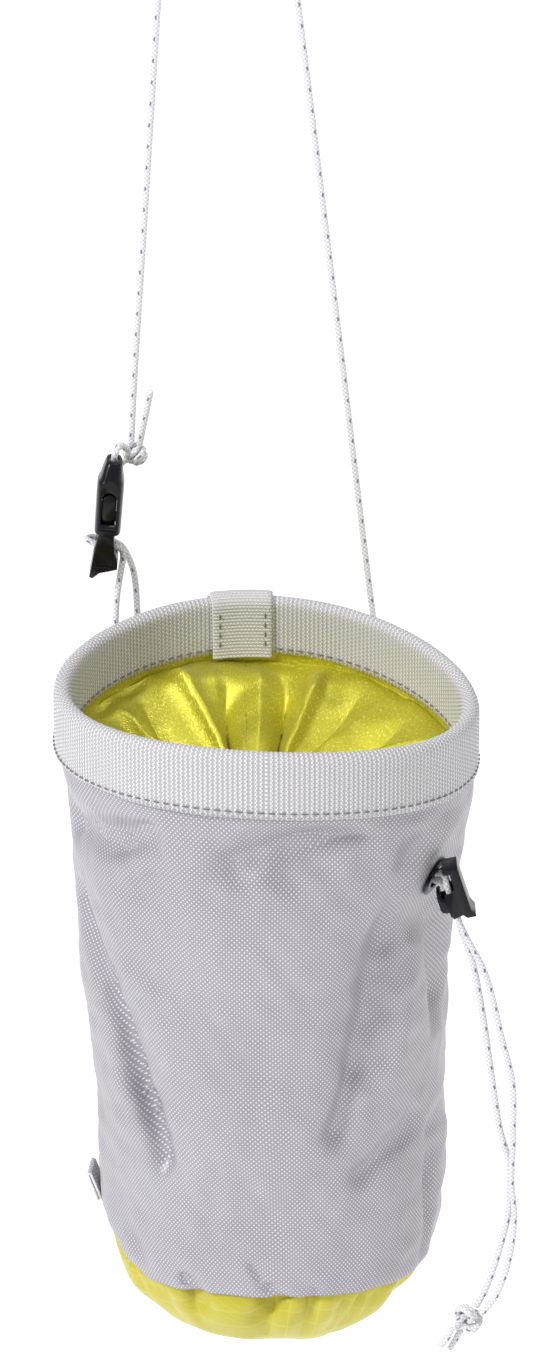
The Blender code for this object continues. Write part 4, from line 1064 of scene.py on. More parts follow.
def strip_piece(name, grid, across, along):
    """A strip of closed profiles, one a column, with flat ends."""
    rows, columns = grid.shape[:2]
    faces, places = grid_faces(rows, columns, True, False)
    across = np.broadcast_to(across, (rows + 1, columns + 1))
    along = np.broadcast_to(along, (rows + 1, columns + 1))
    starts = np.arange(rows) * columns
    ends = [starts.tolist(), (starts + columns - 1)[::-1].tolist()]
    lengths = np.concatenate((corner_lengths(across, along, places), np.zeros((2 * rows, 2))))
    return mesh_object(name, grid.reshape(-1, 3), faces.tolist() + ends, lengths)


def capped_faces(rows, sides):
    """Faces of a tube of rings with flat ends, and the grid places of its sides' corners."""
    faces, places = grid_faces(rows, sides, False, True)
    last = (rows - 1) * sides
    caps = [list(reversed(range(sides))), list(range(last, last + sides))]
    return faces.tolist() + caps, places


def closed_columns(values):
    """A grid's values with its first column once more at the end."""
    return np.concatenate((values, values[:, :1]), axis=1)


def thinned(rows, step):
    """One row in each few, from the last to the first, with the first always kept."""
    picked = np.arange(len(rows) - 1, -1, -step)
    if picked[-1] != 0:
        picked = np.append(picked, 0)
    return rows[picked]


def run_lengths(points):
    """Length along a line at each of its points."""
    return np.concatenate(([0.0], np.cumsum(np.linalg.norm(np.diff(points, axis=0), axis=1))))


def half_turn(steps):
    """Cosine and sine at even steps of half a turn."""
    angles = [math.pi * step / steps for step in range(steps + 1)]
    return [(math.cos(angle), math.sin(angle)) for angle in angles]


def joined(name, pieces):
    """Several meshes as one piece."""
    work = bmesh.new()
    for piece in pieces:
        work.from_mesh(piece.data)
        bpy.data.objects.remove(piece)
    mesh = bpy.data.meshes.new(name)
    work.to_mesh(mesh)
    work.free()
    mesh.shade_smooth()
    made = bpy.data.objects.new(name, mesh)
    bpy.context.scene.collection.objects.link(made)
    return made


def baked(made):
    """The piece with its modifiers worked into its mesh, and its cutters removed."""
    cutters = [step.object for step in made.modifiers if step.type == "BOOLEAN"]
    bpy.context.view_layer.update()
    graph = bpy.context.evaluated_depsgraph_get()
    mesh = bpy.data.meshes.new_from_object(made.evaluated_get(graph))
    made.modifiers.clear()
    made.data = mesh
    for cutter in cutters:
        bpy.data.objects.remove(cutter)
    return made


def sleeve_clearance(azimuth, section):
    """0 under the belt sleeve, where the cloth lies plain, and 1 away from it."""
    away = np.abs((azimuth - SLEEVE_AZIMUTH + 180) % 360 - 180)
    beside = smooth_step((away - SLEEVE_HALF_ANGLE) / SLEEVE_CLEAR_ANGLE)
    below = smooth_step((section - SLEEVE_FOOT_SECTION) / SLEEVE_CLEAR_SECTION)
    return np.maximum(beside, below)


def shell_grid(rows, columns):
    """The body's outer face with its creases and ripples: points, outward directions and heights."""
    azimuth = np.linspace(0, 360, columns, endpoint=False)
    end = ring_value(SEAM, azimuth) - SEAM_SPLIT / 2
    section = even_sections(np.full(columns, SHELL_TOP), end, rows)
    azimuth = np.broadcast_to(azimuth, section.shape)
    height = table_row(SECTIONS, section)[..., 0]
    points = bag_points(azimuth, section)
    normals = bag_normals(azimuth, section)
    inward = CREASE_SCALE * crease_depth(azimuth, height)
    inward = inward + ripple(points, *SHELL_WAVES)
    inward = inward + ripple(points, *SHELL_FINE_WAVES)
    inward = inward * smooth_step((section - BAND_END) / CREASE_START)
    inward = inward * sleeve_clearance(azimuth, section)
    near = np.linalg.norm(points - eyelet_centre(), axis=-1)
    inward = inward * smooth_step((near - EYELET_FLANGE_RADIUS) / EYELET_FLAT_FADE)
    return points - normals * inward[..., None], normals, height


def cloth_skin(name, outer, inner, across, along, inner_step):
    """A closed cloth wall: a fine outer face and a coarser inner one."""
    grid = np.concatenate((outer, thinned(inner, inner_step)))
    lengths = np.concatenate((along, thinned(along, inner_step), along[:1]))
    return grid_piece(name, grid, across, lengths)


def build_shell():
    rows = 210
    columns = 320
    outer, normals, height = shell_grid(rows, columns)
    across = np.radians(np.linspace(0, 360, columns + 1))[None, :] * SHELL_RADIUS
    along = closed_columns(-height * BAG_HEIGHT)
    made = cloth_skin("shell_cloth", outer, outer - normals * SHELL_WALL, across, along, inner_step=8)
    centre = eyelet_centre()
    axis = eyelet_axis()
    reach = EYELET_FLANGE_RADIUS * 1.5
    bore = EYELET_BARREL_RADIUS + GAP / 2
    boolean(made, rod("shell_hole", centre - axis * reach, centre + axis * reach, bore, sides=40))
    return finished(baked(made), grey_cloth, replaces=("shell",))


def gather_depth(azimuth, share):
    total = np.zeros_like(azimuth)
    dice = np.random.default_rng(11)
    loose = []
    for _ in range(LOOSE_GATHERS):
        spot = dice.uniform(50, 310)
        loose.append((spot, dice.uniform(0.0004, 0.0014), dice.uniform(1.6, 3.2), dice.uniform(0.2, 0.5)))
    for spot, depth, half_width, reach in list(GATHERS) + loose:
        away = (azimuth - spot + 180) % 360 - 180
        width = half_width * (1 + share / reach)
        fade = np.clip(1 - share / (reach * 1.6), 0, 1) ** 1.3 * smooth_step(share / 0.03 + 0.3)
        total += GATHER_SCALE * depth * np.exp(-np.abs(away / width) ** 1.5) * fade
    return total


def build_bottom():
    """The gathered bottom: a dish whose two faces close in a fan round the foot."""
    rows = 64
    columns = 320
    inner_step = 6
    azimuth = np.linspace(0, 360, columns, endpoint=False)
    start = ring_value(SEAM, azimuth) + SEAM_SPLIT / 2
    share = np.linspace(0, 1, rows + 1)[:-1, None]
    section = start + (LAST_SECTION - start) * share
    azimuth = np.broadcast_to(azimuth, section.shape)
    share = np.broadcast_to(share, section.shape)
    height, half_width = np.moveaxis(table_row(SECTIONS, section), -1, 0)[:2]
    points = bag_points(azimuth, section)
    normals = bag_normals(azimuth, section)
    sag = ripple(points, *BOTTOM_WAVES) * smooth_step(share / BOTTOM_SAG_START)
    inward = (gather_depth(azimuth, share) + sag) * np.minimum(1.0, half_width * 2)
    inward = inward + SEAM_TUCK * (1 - smooth_step(share / SEAM_TUCK_REACH))
    outer = points - normals * inward[..., None]
    inner = outer - normals * SHELL_WALL
    narrowing = closed_columns(BOTTOM_NARROWEST + (1 - BOTTOM_NARROWEST) * half_width)
    across = np.radians(np.linspace(0, 360, columns + 1)) * SHELL_RADIUS * narrowing
    along = closed_columns(-(height + half_width * 0.1) * BAG_HEIGHT)
    across = np.concatenate((thinned(across, inner_step), across))
    along = np.concatenate((thinned(along, inner_step), along))
    grid = np.concatenate((thinned(inner, inner_step), outer))
    faces, places = grid_faces(len(grid), columns, False, True)
    foot = bag_points(np.array([0.0]), np.array([float(LAST_SECTION)]))[0]
    corners = np.concatenate((grid.reshape(-1, 3), [foot + (0, 0, SHELL_WALL), foot]))
    step = np.arange(columns)
    after = (step + 1) % columns
    last_row = (len(grid) - 1) * columns
    inner_fan = np.stack((step, after, np.full(columns, len(corners) - 2)), 1)
    outer_fan = np.stack((last_row + after, last_row + step, np.full(columns, len(corners) - 1)), 1)
    fan_lengths = np.full((6 * columns, 2), SHELL_RADIUS * 0.5)
    made = mesh_object(
        "bottom_cloth",
        corners,
        faces.tolist() + inner_fan.tolist() + outer_fan.tolist(),
        np.concatenate((corner_lengths(across, along, places), fan_lengths)),
    )
    return finished(made, yellow_cloth, replaces=("bottom",))


def band_profile(extra, legs, leg_points, crown_points):
    """Closed outline of webbing folded over the edge: depth, height, outward normal and length along."""
    top_radius = BAND_THICKNESS / 2 + extra
    slot_radius = top_radius - WEBBING
    middle = BAND_THICKNESS / 2
    crown = -BAND_THICKNESS / 2
    rows = []
    for height in np.linspace(-legs[0], crown, leg_points)[:-1]:
        rows.append((middle - top_radius, height, -1.0, 0.0))
    for angle in np.linspace(0, math.pi, crown_points):
        rows.append((
            middle - math.cos(angle) * top_radius,
            crown + math.sin(angle) * top_radius,
            -math.cos(angle),
            math.sin(angle),
        ))
    for height in np.linspace(crown, -legs[1], leg_points)[1:]:
        rows.append((middle + top_radius, height, 1.0, 0.0))
    outside = len(rows)
    for height in (-legs[1], crown):
        rows.append((middle + slot_radius, height, 0.0, 0.0))
    for angle in np.linspace(math.pi, 0, 6)[1:-1]:
        depth = middle - math.cos(angle) * slot_radius
        rows.append((depth, crown + math.sin(angle) * slot_radius, 0.0, 0.0))
    for height in (crown, -legs[0]):
        rows.append((middle - slot_radius, height, 0.0, 0.0))
    rows = np.array(rows)
    return rows, run_lengths(rows[:, :2]), outside


def band_grid(azimuth, rows, lift):
    """Points of the webbing at azimuths (columns) for an outline (rows), raised along its normal."""
    depth = rows[:, 0][:, None] + rows[:, 2][:, None] * lift
    height = rows[:, 1][:, None] + rows[:, 3][:, None] * lift
    angle = np.radians(azimuth)[None, :]
    radius = MOUTH_RADIUS - depth
    return np.stack((
        radius * np.sin(angle),
        -radius * np.cos(angle),
        rim_height(azimuth)[None, :] + height,
    ), axis=-1)


def build_band():
    ribs = round(2 * math.pi * MOUTH_RADIUS / RIB_PITCH)
    columns = ribs * 4
    azimuth = np.linspace(0, 360, columns, endpoint=False)
    rows, along, outside = band_profile(0.0, (BAND_OUTER_LEG, BAND_INNER_LEG), 10, 11)
    rib = 0.5 + 0.5 * np.cos(np.radians(azimuth) * ribs)
    share = along[:, None] / along[outside - 1]
    edge = np.where(share <= 1, np.abs(share - 0.5) * 2, 0)
    plain = band_grid(azimuth, rows, 0.0)
    lift = (rib[None, :] - 1) * RIB_HEIGHT - np.abs(ripple(plain, *BAND_SINK_WAVES)) * 0.5
    grid = band_grid(azimuth, rows, lift)
    grid[..., 2] += ripple(plain, *BAND_EDGE_WAVES) * edge ** 4
    turns = np.linspace(0, ribs * RIB_PITCH, columns + 1)[None, :]
    lengths = np.concatenate((along, along[:1]))[:, None]
    made = grid_piece("rim_webbing", grid, turns, lengths)
    return finished(made, rim_paint, replaces=("rim_binding",))


def build_patch():
    """The patch over the webbing's joint, its ribs running across the mouth's edge."""
    half_angle = math.degrees(PATCH_WIDTH / 2 / MOUTH_RADIUS)
    columns = 29
    azimuth = PATCH_AZIMUTH + half_angle * np.linspace(-1, 1, columns)
    legs = (BAND_OUTER_LEG + PATCH_EXTRA, BAND_INNER_LEG + PATCH_EXTRA)
    rows, along, _ = band_profile(WEBBING + GAP, legs, 90, 44)
    ribs = 0.5 + 0.5 * np.cos(2 * math.pi * along / PATCH_RIB_PITCH)
    across = np.radians(azimuth) * MOUTH_RADIUS
    rounded = 1 - smooth_step((PATCH_WIDTH / 2 - np.abs(across - across.mean())) / 0.0012)
    lift = (ribs[:, None] - 1) * PATCH_RIB_HEIGHT - rounded[None, :] * 0.0004
    grid = band_grid(azimuth, rows, lift)
    lengths = np.append(along, along[0])[:, None]
    turns = np.append(across, across[-1])[None, :]
    made = strip_piece("patch_webbing", grid, lengths, turns)
    return finished(made, patch_paint, replaces=("rim_patch",))


def path_value(values, place, at):
    """Values of a path, such as its points, at one length along it."""
    return np.array([np.interp(at, place, values[:, axis]) for axis in range(3)])


def stitches(name, path, outward, length, gap, radius):
    """Short threads along a path of points, each sunk into the cloth at its ends."""
    place = run_lengths(path)
    points = []
    faces = []
    start = gap / 2
    while start + length < place[-1]:
        base = len(points)
        for share, width, lift in STITCH_SHAPE:
            at = start + length * share
            centre = path_value(path, place, at)
            along = path_value(path, place, at + radius) - path_value(path, place, at - radius)
            along = along / np.linalg.norm(along)
            up = path_value(outward, place, at)
            up = up / np.linalg.norm(up)
            side = np.cross(along, up)
            for step in range(STITCH_SIDES):
                angle = 2 * math.pi * step / STITCH_SIDES
                around = side * math.cos(angle) + up * math.sin(angle)
                points.append(centre + up * radius * lift + around * radius * width)
        upper = base
        for _ in STITCH_SHAPE[1:]:
            lower = upper + STITCH_SIDES
            for step in range(STITCH_SIDES):
                after = (step + 1) % STITCH_SIDES
                faces.append((upper + step, upper + after, lower + after, lower + step))
            upper = lower
        faces.append(tuple(base + step for step in reversed(range(STITCH_SIDES))))
        faces.append(tuple(upper + step for step in range(STITCH_SIDES)))
        start += length + gap
    return mesh_object(name, points, faces)


def band_line(azimuth, depth, height):
    """A line on the webbing's face, and its outward directions."""
    angle = np.radians(azimuth)
    radius = MOUTH_RADIUS - depth
    points = np.stack((radius * np.sin(angle), -radius * np.cos(angle), rim_height(azimuth) + height), -1)
    sign = 1.0 if depth < BAND_THICKNESS / 2 else -1.0
    outward = np.stack((np.sin(angle), -np.cos(angle), 0 * angle), -1) * sign
    return points, outward


def build_stitches():
    """Threads along the rim's webbing and down both sides of its patch."""
    azimuth = np.linspace(0, 360, 721)
    outer = band_line(azimuth, 0.0, STITCH_INSET - BAND_OUTER_LEG)
    inner = band_line(azimuth, BAND_THICKNESS, STITCH_INSET - BAND_INNER_LEG)
    pieces = [
        stitches("band_stitches_outer", *outer, *SEWN_STITCH),
        stitches("band_stitches_inner", *inner, *SEWN_STITCH),
    ]
    half_angle = math.degrees((PATCH_WIDTH / 2 - PATCH_STITCH_INSET) / MOUTH_RADIUS)
    height = np.linspace(-PATCH_STITCH_TOP, PATCH_STITCH_FOOT - BAND_INNER_LEG, 40)
    for side in (-1, 1):
        azimuth = PATCH_AZIMUTH + side * half_angle + 0 * height
        for depth in (-WEBBING - GAP, BAND_THICKNESS + WEBBING + GAP):
            pieces.append(stitches("patch_stitches", *band_line(azimuth, depth, height), *PATCH_STITCH))
    finished(joined("rim_stitches", pieces), rim_thread)


def pleat_height(azimuth, reach):
    """Height of the satin's folds over the plain funnel."""
    total = np.zeros_like(azimuth)
    for edge, neck, height, half_width, start, lean in LINING_PLEATS:
        spot = neck + (edge - neck) * reach
        away = (azimuth - spot + 180) % 360 - 180
        width = half_width * np.where(away > 0, 1 + lean, 1 - lean) * (1.0 + 0.5 * (1 - reach))
        begun = smooth_step((start - reach) / 0.30)
        done = 0.35 + 0.65 * smooth_step(reach / 0.45)
        total += PLEAT_SCALE * height * np.exp(-np.abs(away / width) ** 1.2) * begun * done
    dice = np.random.default_rng(21)
    angle = np.radians(azimuth)
    wander = 0.9 * np.sin(angle * 3 + 1.0) + 0.5 * np.sin(angle * 7 + dice.uniform())
    neck = np.abs(np.sin((angle * NECK_PLEATS + wander) / 2))
    total += (0.5 - neck) * NECK_PLEAT_DEPTH * (1 - smooth_step((reach - 0.05) / 0.55)) * 2
    return total


def lining_points(azimuth, row, lift):
    drop_share, reach = np.moveaxis(table_row(LINING_ROWS, row), -1, 0)
    angle = np.radians(azimuth)
    edge_x = LINING_RADIUS * np.sin(angle)
    edge_y = -LINING_RADIUS * np.cos(angle)
    neck_x = NECK_X + NECK_RADIUS * np.sin(angle)
    neck_y = NECK_Y - NECK_RADIUS * np.cos(angle)
    level = rim_height(azimuth) * np.clip(reach * 1.3 - 0.3, 0, 1)
    return np.stack((
        neck_x + (edge_x - neck_x) * reach,
        neck_y + (edge_y - neck_y) * reach,
        level - drop_share * NECK_DROP + lift,
    ), axis=-1)


def satin_free(row):
    """0 where the satin is sewn under the webbing, and 1 where it is free to fold."""
    return smooth_step((row - SATIN_FREE_START) / SATIN_FREE_FADE)


def build_lining():
    rows = 96
    columns = 420
    azimuth = np.linspace(0, 360, columns, endpoint=False)
    row = np.linspace(0, len(LINING_ROWS) - 1, rows)[:, None] + 0 * azimuth
    azimuth = np.broadcast_to(azimuth, row.shape)
    reach = table_row(LINING_ROWS, row)[..., 1]
    plain = lining_points(azimuth, row, 0.0)
    lift = (pleat_height(azimuth, reach) + ripple(plain, *LINING_WAVES)) * satin_free(row)
    middle = lining_points(azimuth, row, lift)
    across_step = np.roll(middle, -1, axis=1) - np.roll(middle, 1, axis=1)
    down_step = np.gradient(middle, axis=0)
    normal = np.cross(down_step, across_step)
    normal = normal / np.maximum(np.linalg.norm(normal, axis=-1), 1e-12)[..., None]
    upper = middle - normal * LINING_WALL / 2
    lower = middle + normal * LINING_WALL / 2
    along = run_lengths(plain[:, 0])[:, None] + np.zeros(columns + 1)
    across = np.radians(np.linspace(0, 360, columns + 1))[None, :] * LINING_RADIUS
    made = cloth_skin("lining_satin", upper, lower, across, along, inner_step=4)
    return finished(made, satin, replaces=("lining",))


def build_lining_seam():
    """The stitched seam down the satin at the back."""
    row = np.linspace(*LINING_SEAM_ROWS, 60)
    azimuth = np.linspace(*LINING_SEAM_AZIMUTHS, 60)
    reach = table_row(LINING_ROWS, row)[..., 1]
    lift = pleat_height(azimuth, reach) * satin_free(row)
    line = lining_points(azimuth, row, lift + LINING_WALL / 2)
    outward = np.zeros_like(line) + (0.0, 0.0, 1.0)
    finished(stitches("lining_stitches", line, outward, *SATIN_STITCH), yellow_thread)


def build_hem():
    """Gathered hem under the neck, pleated as the cord draws it."""
    columns = 252
    rows = 18
    share = np.linspace(0, 1, rows)[:, None]
    angle = np.radians(np.linspace(0, 360, columns, endpoint=False))[None, :]
    pleat = HEM_PLEAT_DEPTH * np.sin(angle * NECK_PLEATS) * (0.3 + 0.7 * share)
    top = -NECK_DROP - 2 * GAP - LINING_WALL
    skins = []
    for offset in (LINING_WALL / 2, -LINING_WALL / 2):
        radius = NECK_RADIUS + offset + HEM_FLARE * share ** 3 + pleat
        skins.append(np.stack((
            NECK_X + radius * np.sin(angle),
            NECK_Y - radius * np.cos(angle),
            top - HEM_HEIGHT * share + 0 * angle,
        ), axis=-1))
    grid = np.concatenate((skins[0], skins[1][::-1]))
    across = np.linspace(0, 2 * math.pi * NECK_RADIUS, columns + 1)[None, :]
    down = HEM_HEIGHT * share
    along = np.concatenate((down, down[::-1], down[:1]))
    made = grid_piece("hem_satin", grid, across, along)
    return finished(made, satin, replaces=("lining_hem",))


def rod(name, start, end, radius, sides):
    start = np.asarray(start, float)
    end = np.asarray(end, float)
    axis = (end - start) / np.linalg.norm(end - start)
    side = np.cross(axis, (0.0, 0.0, 1.0) if abs(axis[2]) < 0.9 else (1.0, 0.0, 0.0))
    side = side / np.linalg.norm(side)
    other = np.cross(axis, side)
    angle = np.linspace(0, 2 * math.pi, sides, endpoint=False)[:, None]
    ring = (side * np.cos(angle) + other * np.sin(angle)) * radius
    points = np.concatenate((start + ring, end + ring))
    steps = np.arange(sides)
    after = (steps + 1) % sides
    faces = np.stack((steps, after, after + sides, steps + sides), 1).tolist()
    faces += [list(reversed(range(sides))), list(range(sides, 2 * sides))]
    return mesh_object(name, points, faces, smooth=False)


def boolean(made, other, operation="DIFFERENCE"):
    step = made.modifiers.new(other.name, "BOOLEAN")
    step.operation = operation
    step.solver = "EXACT"
    step.object = other


def bevel(made, width, segments):
    step = made.modifiers.new("Bevel", "BEVEL")
    step.width = width
    step.segments = segments
    step.limit_method = "ANGLE"
    step.angle_limit = math.radians(BEVEL_ANGLE)
    step.harden_normals = True


def turned(name, profile, centre, axis, sides):
    """A ring from a profile of radii and heights, turned about an axis."""
    axis = np.asarray(axis, float)
    side = np.cross(axis, (0.0, 0.0, 1.0))
    side = side / np.linalg.norm(side)
    other = np.cross(axis, side)
    angle = np.linspace(0, 2 * math.pi, sides, endpoint=False)[None, :, None]
    around = side * np.cos(angle) + other * np.sin(angle)
    rows = np.array(profile)
    grid = centre + axis * rows[:, 1][:, None, None] + around * rows[:, 0][:, None, None]
    around_lengths = np.linspace(0, 0.03, sides + 1)[None, :]
    profile_lengths = np.linspace(0, 0.02, len(rows) + 1)[:, None]
    return grid_piece(name, grid, around_lengths, profile_lengths)


def rounded_profile(corners, radius):
    """A closed profile with its corners rounded."""
    steps = 4
    points = []
    count = len(corners)
    for index in range(count):
        here = np.array(corners[index])
        before = np.array(corners[index - 1])
        after = np.array(corners[(index + 1) % count])
        back = before - here
        ahead = after - here
        cut = min(radius, np.linalg.norm(back) * 0.45, np.linalg.norm(ahead) * 0.45)
        start = here + back / np.linalg.norm(back) * cut
        end = here + ahead / np.linalg.norm(ahead) * cut
        for step in range(steps + 1):
            t = step / steps
            points.append(start * (1 - t) ** 2 + here * 2 * t * (1 - t) + end * t ** 2)
    return points


def build_eyelet():
    seat = SHELL_WALL + EYELET_SEAT
    corners = (
        (EYELET_BORE_RADIUS, EYELET_FLANGE + EYELET_SEAT - 0.0001),
        (EYELET_FLANGE_RADIUS - 0.0012, EYELET_FLANGE + EYELET_SEAT),
        (EYELET_FLANGE_RADIUS, EYELET_SEAT + 0.0003),
        (EYELET_FLANGE_RADIUS - 0.0001, EYELET_SEAT),
        (EYELET_BARREL_RADIUS, EYELET_SEAT),
        (EYELET_BARREL_RADIUS, -seat),
        (EYELET_FLANGE_RADIUS - 0.0010, -seat),
        (EYELET_FLANGE_RADIUS - 0.0010, -seat - EYELET_FLANGE),
        (EYELET_BORE_RADIUS, -seat - EYELET_FLANGE),
    )
    profile = rounded_profile(corners, 0.0005)
    made = turned("eyelet_ring", profile, eyelet_centre(), eyelet_axis(), 72)
    return finished(made, plastic, replaces=("grommet",))


def leaned(points, centre, degrees):
    """Points in a piece's own axes, u, v and w, in the mouth's frame."""
    turn = np.array(Matrix.Rotation(math.radians(-degrees), 3, "Y"))
    return np.asarray(centre) + np.asarray(points, float) @ turn.T


def extruded(name, outline, half_depth, centre, degrees, middle=0.0):
    """A solid from an outline in u and w."""
    count = len(outline)
    front = [(u, middle - half_depth, w) for u, w in outline]
    back = [(u, middle + half_depth, w) for u, w in outline]
    steps = np.arange(count)
    after = (steps + 1) % count
    faces = np.stack((steps, after, after + count, steps + count), 1).tolist()
    faces += [list(range(count)), list(reversed(range(count, 2 * count)))]
    return mesh_object(name, leaned(front + back, centre, degrees), faces, smooth=False)


def box(name, low, high, centre, degrees):
    outline = ((low[0], low[2]), (high[0], low[2]), (high[0], high[2]), (low[0], high[2]))
    return extruded(name, outline, (high[1] - low[1]) / 2, centre, degrees, (high[1] + low[1]) / 2)


def moulded(made, width, segments=3):
    """Rounded edges on a plastic piece after its cuts."""
    bevel(made, width, segments)
    baked(made)
    made.data.shade_smooth()
    made.data.set_sharp_from_angle(angle=math.radians(SHARP_ANGLE))
    return made


def build_lock():
    centre = lock_centre()
    bar_back = CORD_RADIUS + GAP + BUTTON_BAR
    pocket_back = bar_back + BUTTON_TRAVEL + GAP
    slot_front = -CORD_RADIUS - GAP - BUTTON_TRAVEL
    head_front = slot_front - BUTTON_HEAD
    slot_half = CORD_DIAMETER + 1.5 * GAP
    button_half = slot_half + 0.0009
    pocket_half = button_half + GAP
    pocket_top = BUTTON_TOP + GAP
    pocket_foot = BUTTON_FOOT - GAP
    cheek_front = -CORD_RADIUS - GAP
    cheek_top = BUTTON_SIDE_TOP + CHEEK_RISE
    rib_face = 0.0019
    lip_foot = LOCK_TOP - 0.0014
    teeth = []
    tooth_count = 6
    tooth_start = pocket_top + 0.0008
    tooth = (lip_foot - tooth_start - 0.0004) / tooth_count
    for index in range(tooth_count):
        teeth.append((rib_face, tooth_start + tooth * index))
        teeth.append((rib_face + 0.00030, tooth_start + tooth * (index + 0.5)))
    outline = [
        (cheek_front, LOCK_FOOT + 0.0010),
        (cheek_front, cheek_top),
        (rib_face - 0.0009, cheek_top),
        (rib_face, pocket_top + 0.0004),
    ] + teeth + [
        (rib_face, lip_foot),
        (0.0002, lip_foot + 0.0003),
        (0.0001, LOCK_TOP),
        (LOCK_BACK - 0.0002, LOCK_TOP - 0.0003),
        (LOCK_BACK - 0.0001, LOCK_TOP * 0.5),
        (LOCK_BACK, LOCK_FOOT + 0.0012),
        (LOCK_BACK + 0.0009, LOCK_FOOT - 0.0011),
        (LOCK_BACK - 0.0016, LOCK_FOOT - 0.0009),
        (LOCK_BACK - 0.0026, LOCK_FOOT + 0.0003),
        (-0.0006, LOCK_FOOT - 0.0002),
    ]
    housing = extruded("lock_housing_moulded", outline, LOCK_HALF_DEPTH, centre, LOCK_LEAN)
    low = (cheek_front - 0.0020, -pocket_half, pocket_foot)
    pocket = box("lock_pocket", low, (pocket_back, pocket_half, pocket_top), centre, LOCK_LEAN)
    low = (cheek_front + 0.0001, -slot_half, LOCK_FOOT - 0.0020)
    bore = box("lock_bore", low, (CORD_RADIUS + GAP, slot_half, pocket_foot + 0.0010), centre, LOCK_LEAN)
    boolean(housing, pocket)
    boolean(housing, bore)
    finished(moulded(housing, 0.00028), plastic, replaces=("lock_housing",))
    button_outline = [
        (head_front + 0.0015, BUTTON_FOOT),
        (bar_back, BUTTON_FOOT),
        (bar_back, BUTTON_SIDE_TOP),
        (slot_front, BUTTON_SIDE_TOP),
        (slot_front, BUTTON_TOP),
        (head_front + 0.0004, BUTTON_TOP),
        (head_front, BUTTON_TOP - 0.0004),
        (head_front, BUTTON_FOOT + 0.0015),
        (head_front + 0.0004, BUTTON_FOOT + 0.0004),
    ]
    button = extruded("lock_button_moulded", button_outline, button_half, centre, LOCK_LEAN)
    low = (slot_front, -slot_half, BUTTON_FOOT - 0.0010)
    slot = box("button_slot", low, (CORD_RADIUS + GAP, slot_half, BUTTON_TOP + 0.0010), centre, LOCK_LEAN)
    boolean(button, slot)
    finished(moulded(button, 0.00022), plastic, "button", ("lock_button",))


def arched_outline(half, foot, spring, rise):
    """Outline of an opening with a flat foot and a round top."""
    top = [(half * across, spring + rise * up) for across, up in half_turn(20)]
    return [(-half, foot), (half, foot)] + top


def build_socket():
    """The clip's socket: its body, the cavity for the prongs, windows, recesses and the cord's eye."""
    rows = table_row(SOCKET_SECTIONS, np.linspace(0, len(SOCKET_SECTIONS) - 1, SOCKET_ROWS))
    angle = np.linspace(0, 2 * math.pi, SOCKET_SIDES, endpoint=False) + math.pi / SOCKET_SIDES
    height, width, depth, shift = (rows[:, column][:, None] for column in range(4))
    grid = np.stack((
        SOCKET_HALF_WIDTH * (shift * 2 + width * signed_power(np.cos(angle), SOCKET_SQUARE)),
        SOCKET_HALF_DEPTH * depth * signed_power(np.sin(angle), SOCKET_SQUARE),
        SOCKET_LENGTH * height + 0 * angle,
    ), axis=-1)
    faces, _ = capped_faces(SOCKET_ROWS, SOCKET_SIDES)
    points = leaned(grid.reshape(-1, 3), CLIP_CENTRE, -CLIP_LEAN)
    socket = mesh_object("clip_socket_moulded", points, faces, smooth=False)
    half_width = SOCKET_HALF_WIDTH - SOCKET_WALL
    half_depth = SOCKET_HALF_DEPTH - SOCKET_WALL
    cavity_top = PRONG_LENGTH + 2 * GAP
    low = (-half_width, -half_depth, -0.0010)
    cavity = box("socket_cavity", low, (half_width, half_depth, cavity_top), CLIP_CENTRE, -CLIP_LEAN)
    half = PRONG_HALF_WIDTH + GAP
    outline = arched_outline(half, WINDOW_FOOT, cavity_top - half, half)
    window = extruded("socket_window", outline, SOCKET_HALF_DEPTH + 0.0010, CLIP_CENTRE, -CLIP_LEAN)
    outline = arched_outline(SOCKET_HALF_WIDTH - RECESS_EDGE, RECESS_FOOT, RECESS_SPRING, RECESS_RISE)
    recesses = []
    for name, side in (("recess_front", -1), ("recess_back", 1)):
        middle = side * (SOCKET_HALF_DEPTH + 0.0004)
        recesses.append(extruded(name, outline, RECESS_DEPTH, CLIP_CENTRE, -CLIP_LEAN, middle))
    start, end = leaned(
        ((0.0004, -0.0022, SOCKET_LENGTH + 0.0022), (0.0004, 0.0078, SOCKET_LENGTH - 0.0078)),
        CLIP_CENTRE,
        -CLIP_LEAN,
    )
    eye = rod("socket_eye", start, end, EYE_RADIUS, sides=28)
    for cutter in (cavity, window, *recesses, eye):
        boolean(socket, cutter)
    finished(moulded(socket, 0.00022, 2), plastic, replaces=("clip_socket",))


def prong(name, side):
    """One of the plug's prongs, with a round outer face."""
    rings = []
    for height, reach, width in PRONG_SECTIONS:
        half = (PRONG_HALF_WIDTH + PRONG_FILL) * width
        crown = SOCKET_HALF_DEPTH * reach - PRONG_ROUNDING
        ring = [(-half, -0.0001), (half, -0.0001)]
        for across, up in half_turn(10):
            ring.append((half * across, crown + PRONG_ROUNDING * max(up, 0.0) ** 0.7))
        rings.append([(u, v * side, height) for u, v in ring])
    faces, _ = capped_faces(len(rings), len(rings[0]))
    points = leaned([point for ring in rings for point in ring], CLIP_CENTRE, -CLIP_LEAN)
    return mesh_object(name, points, faces, smooth=False)


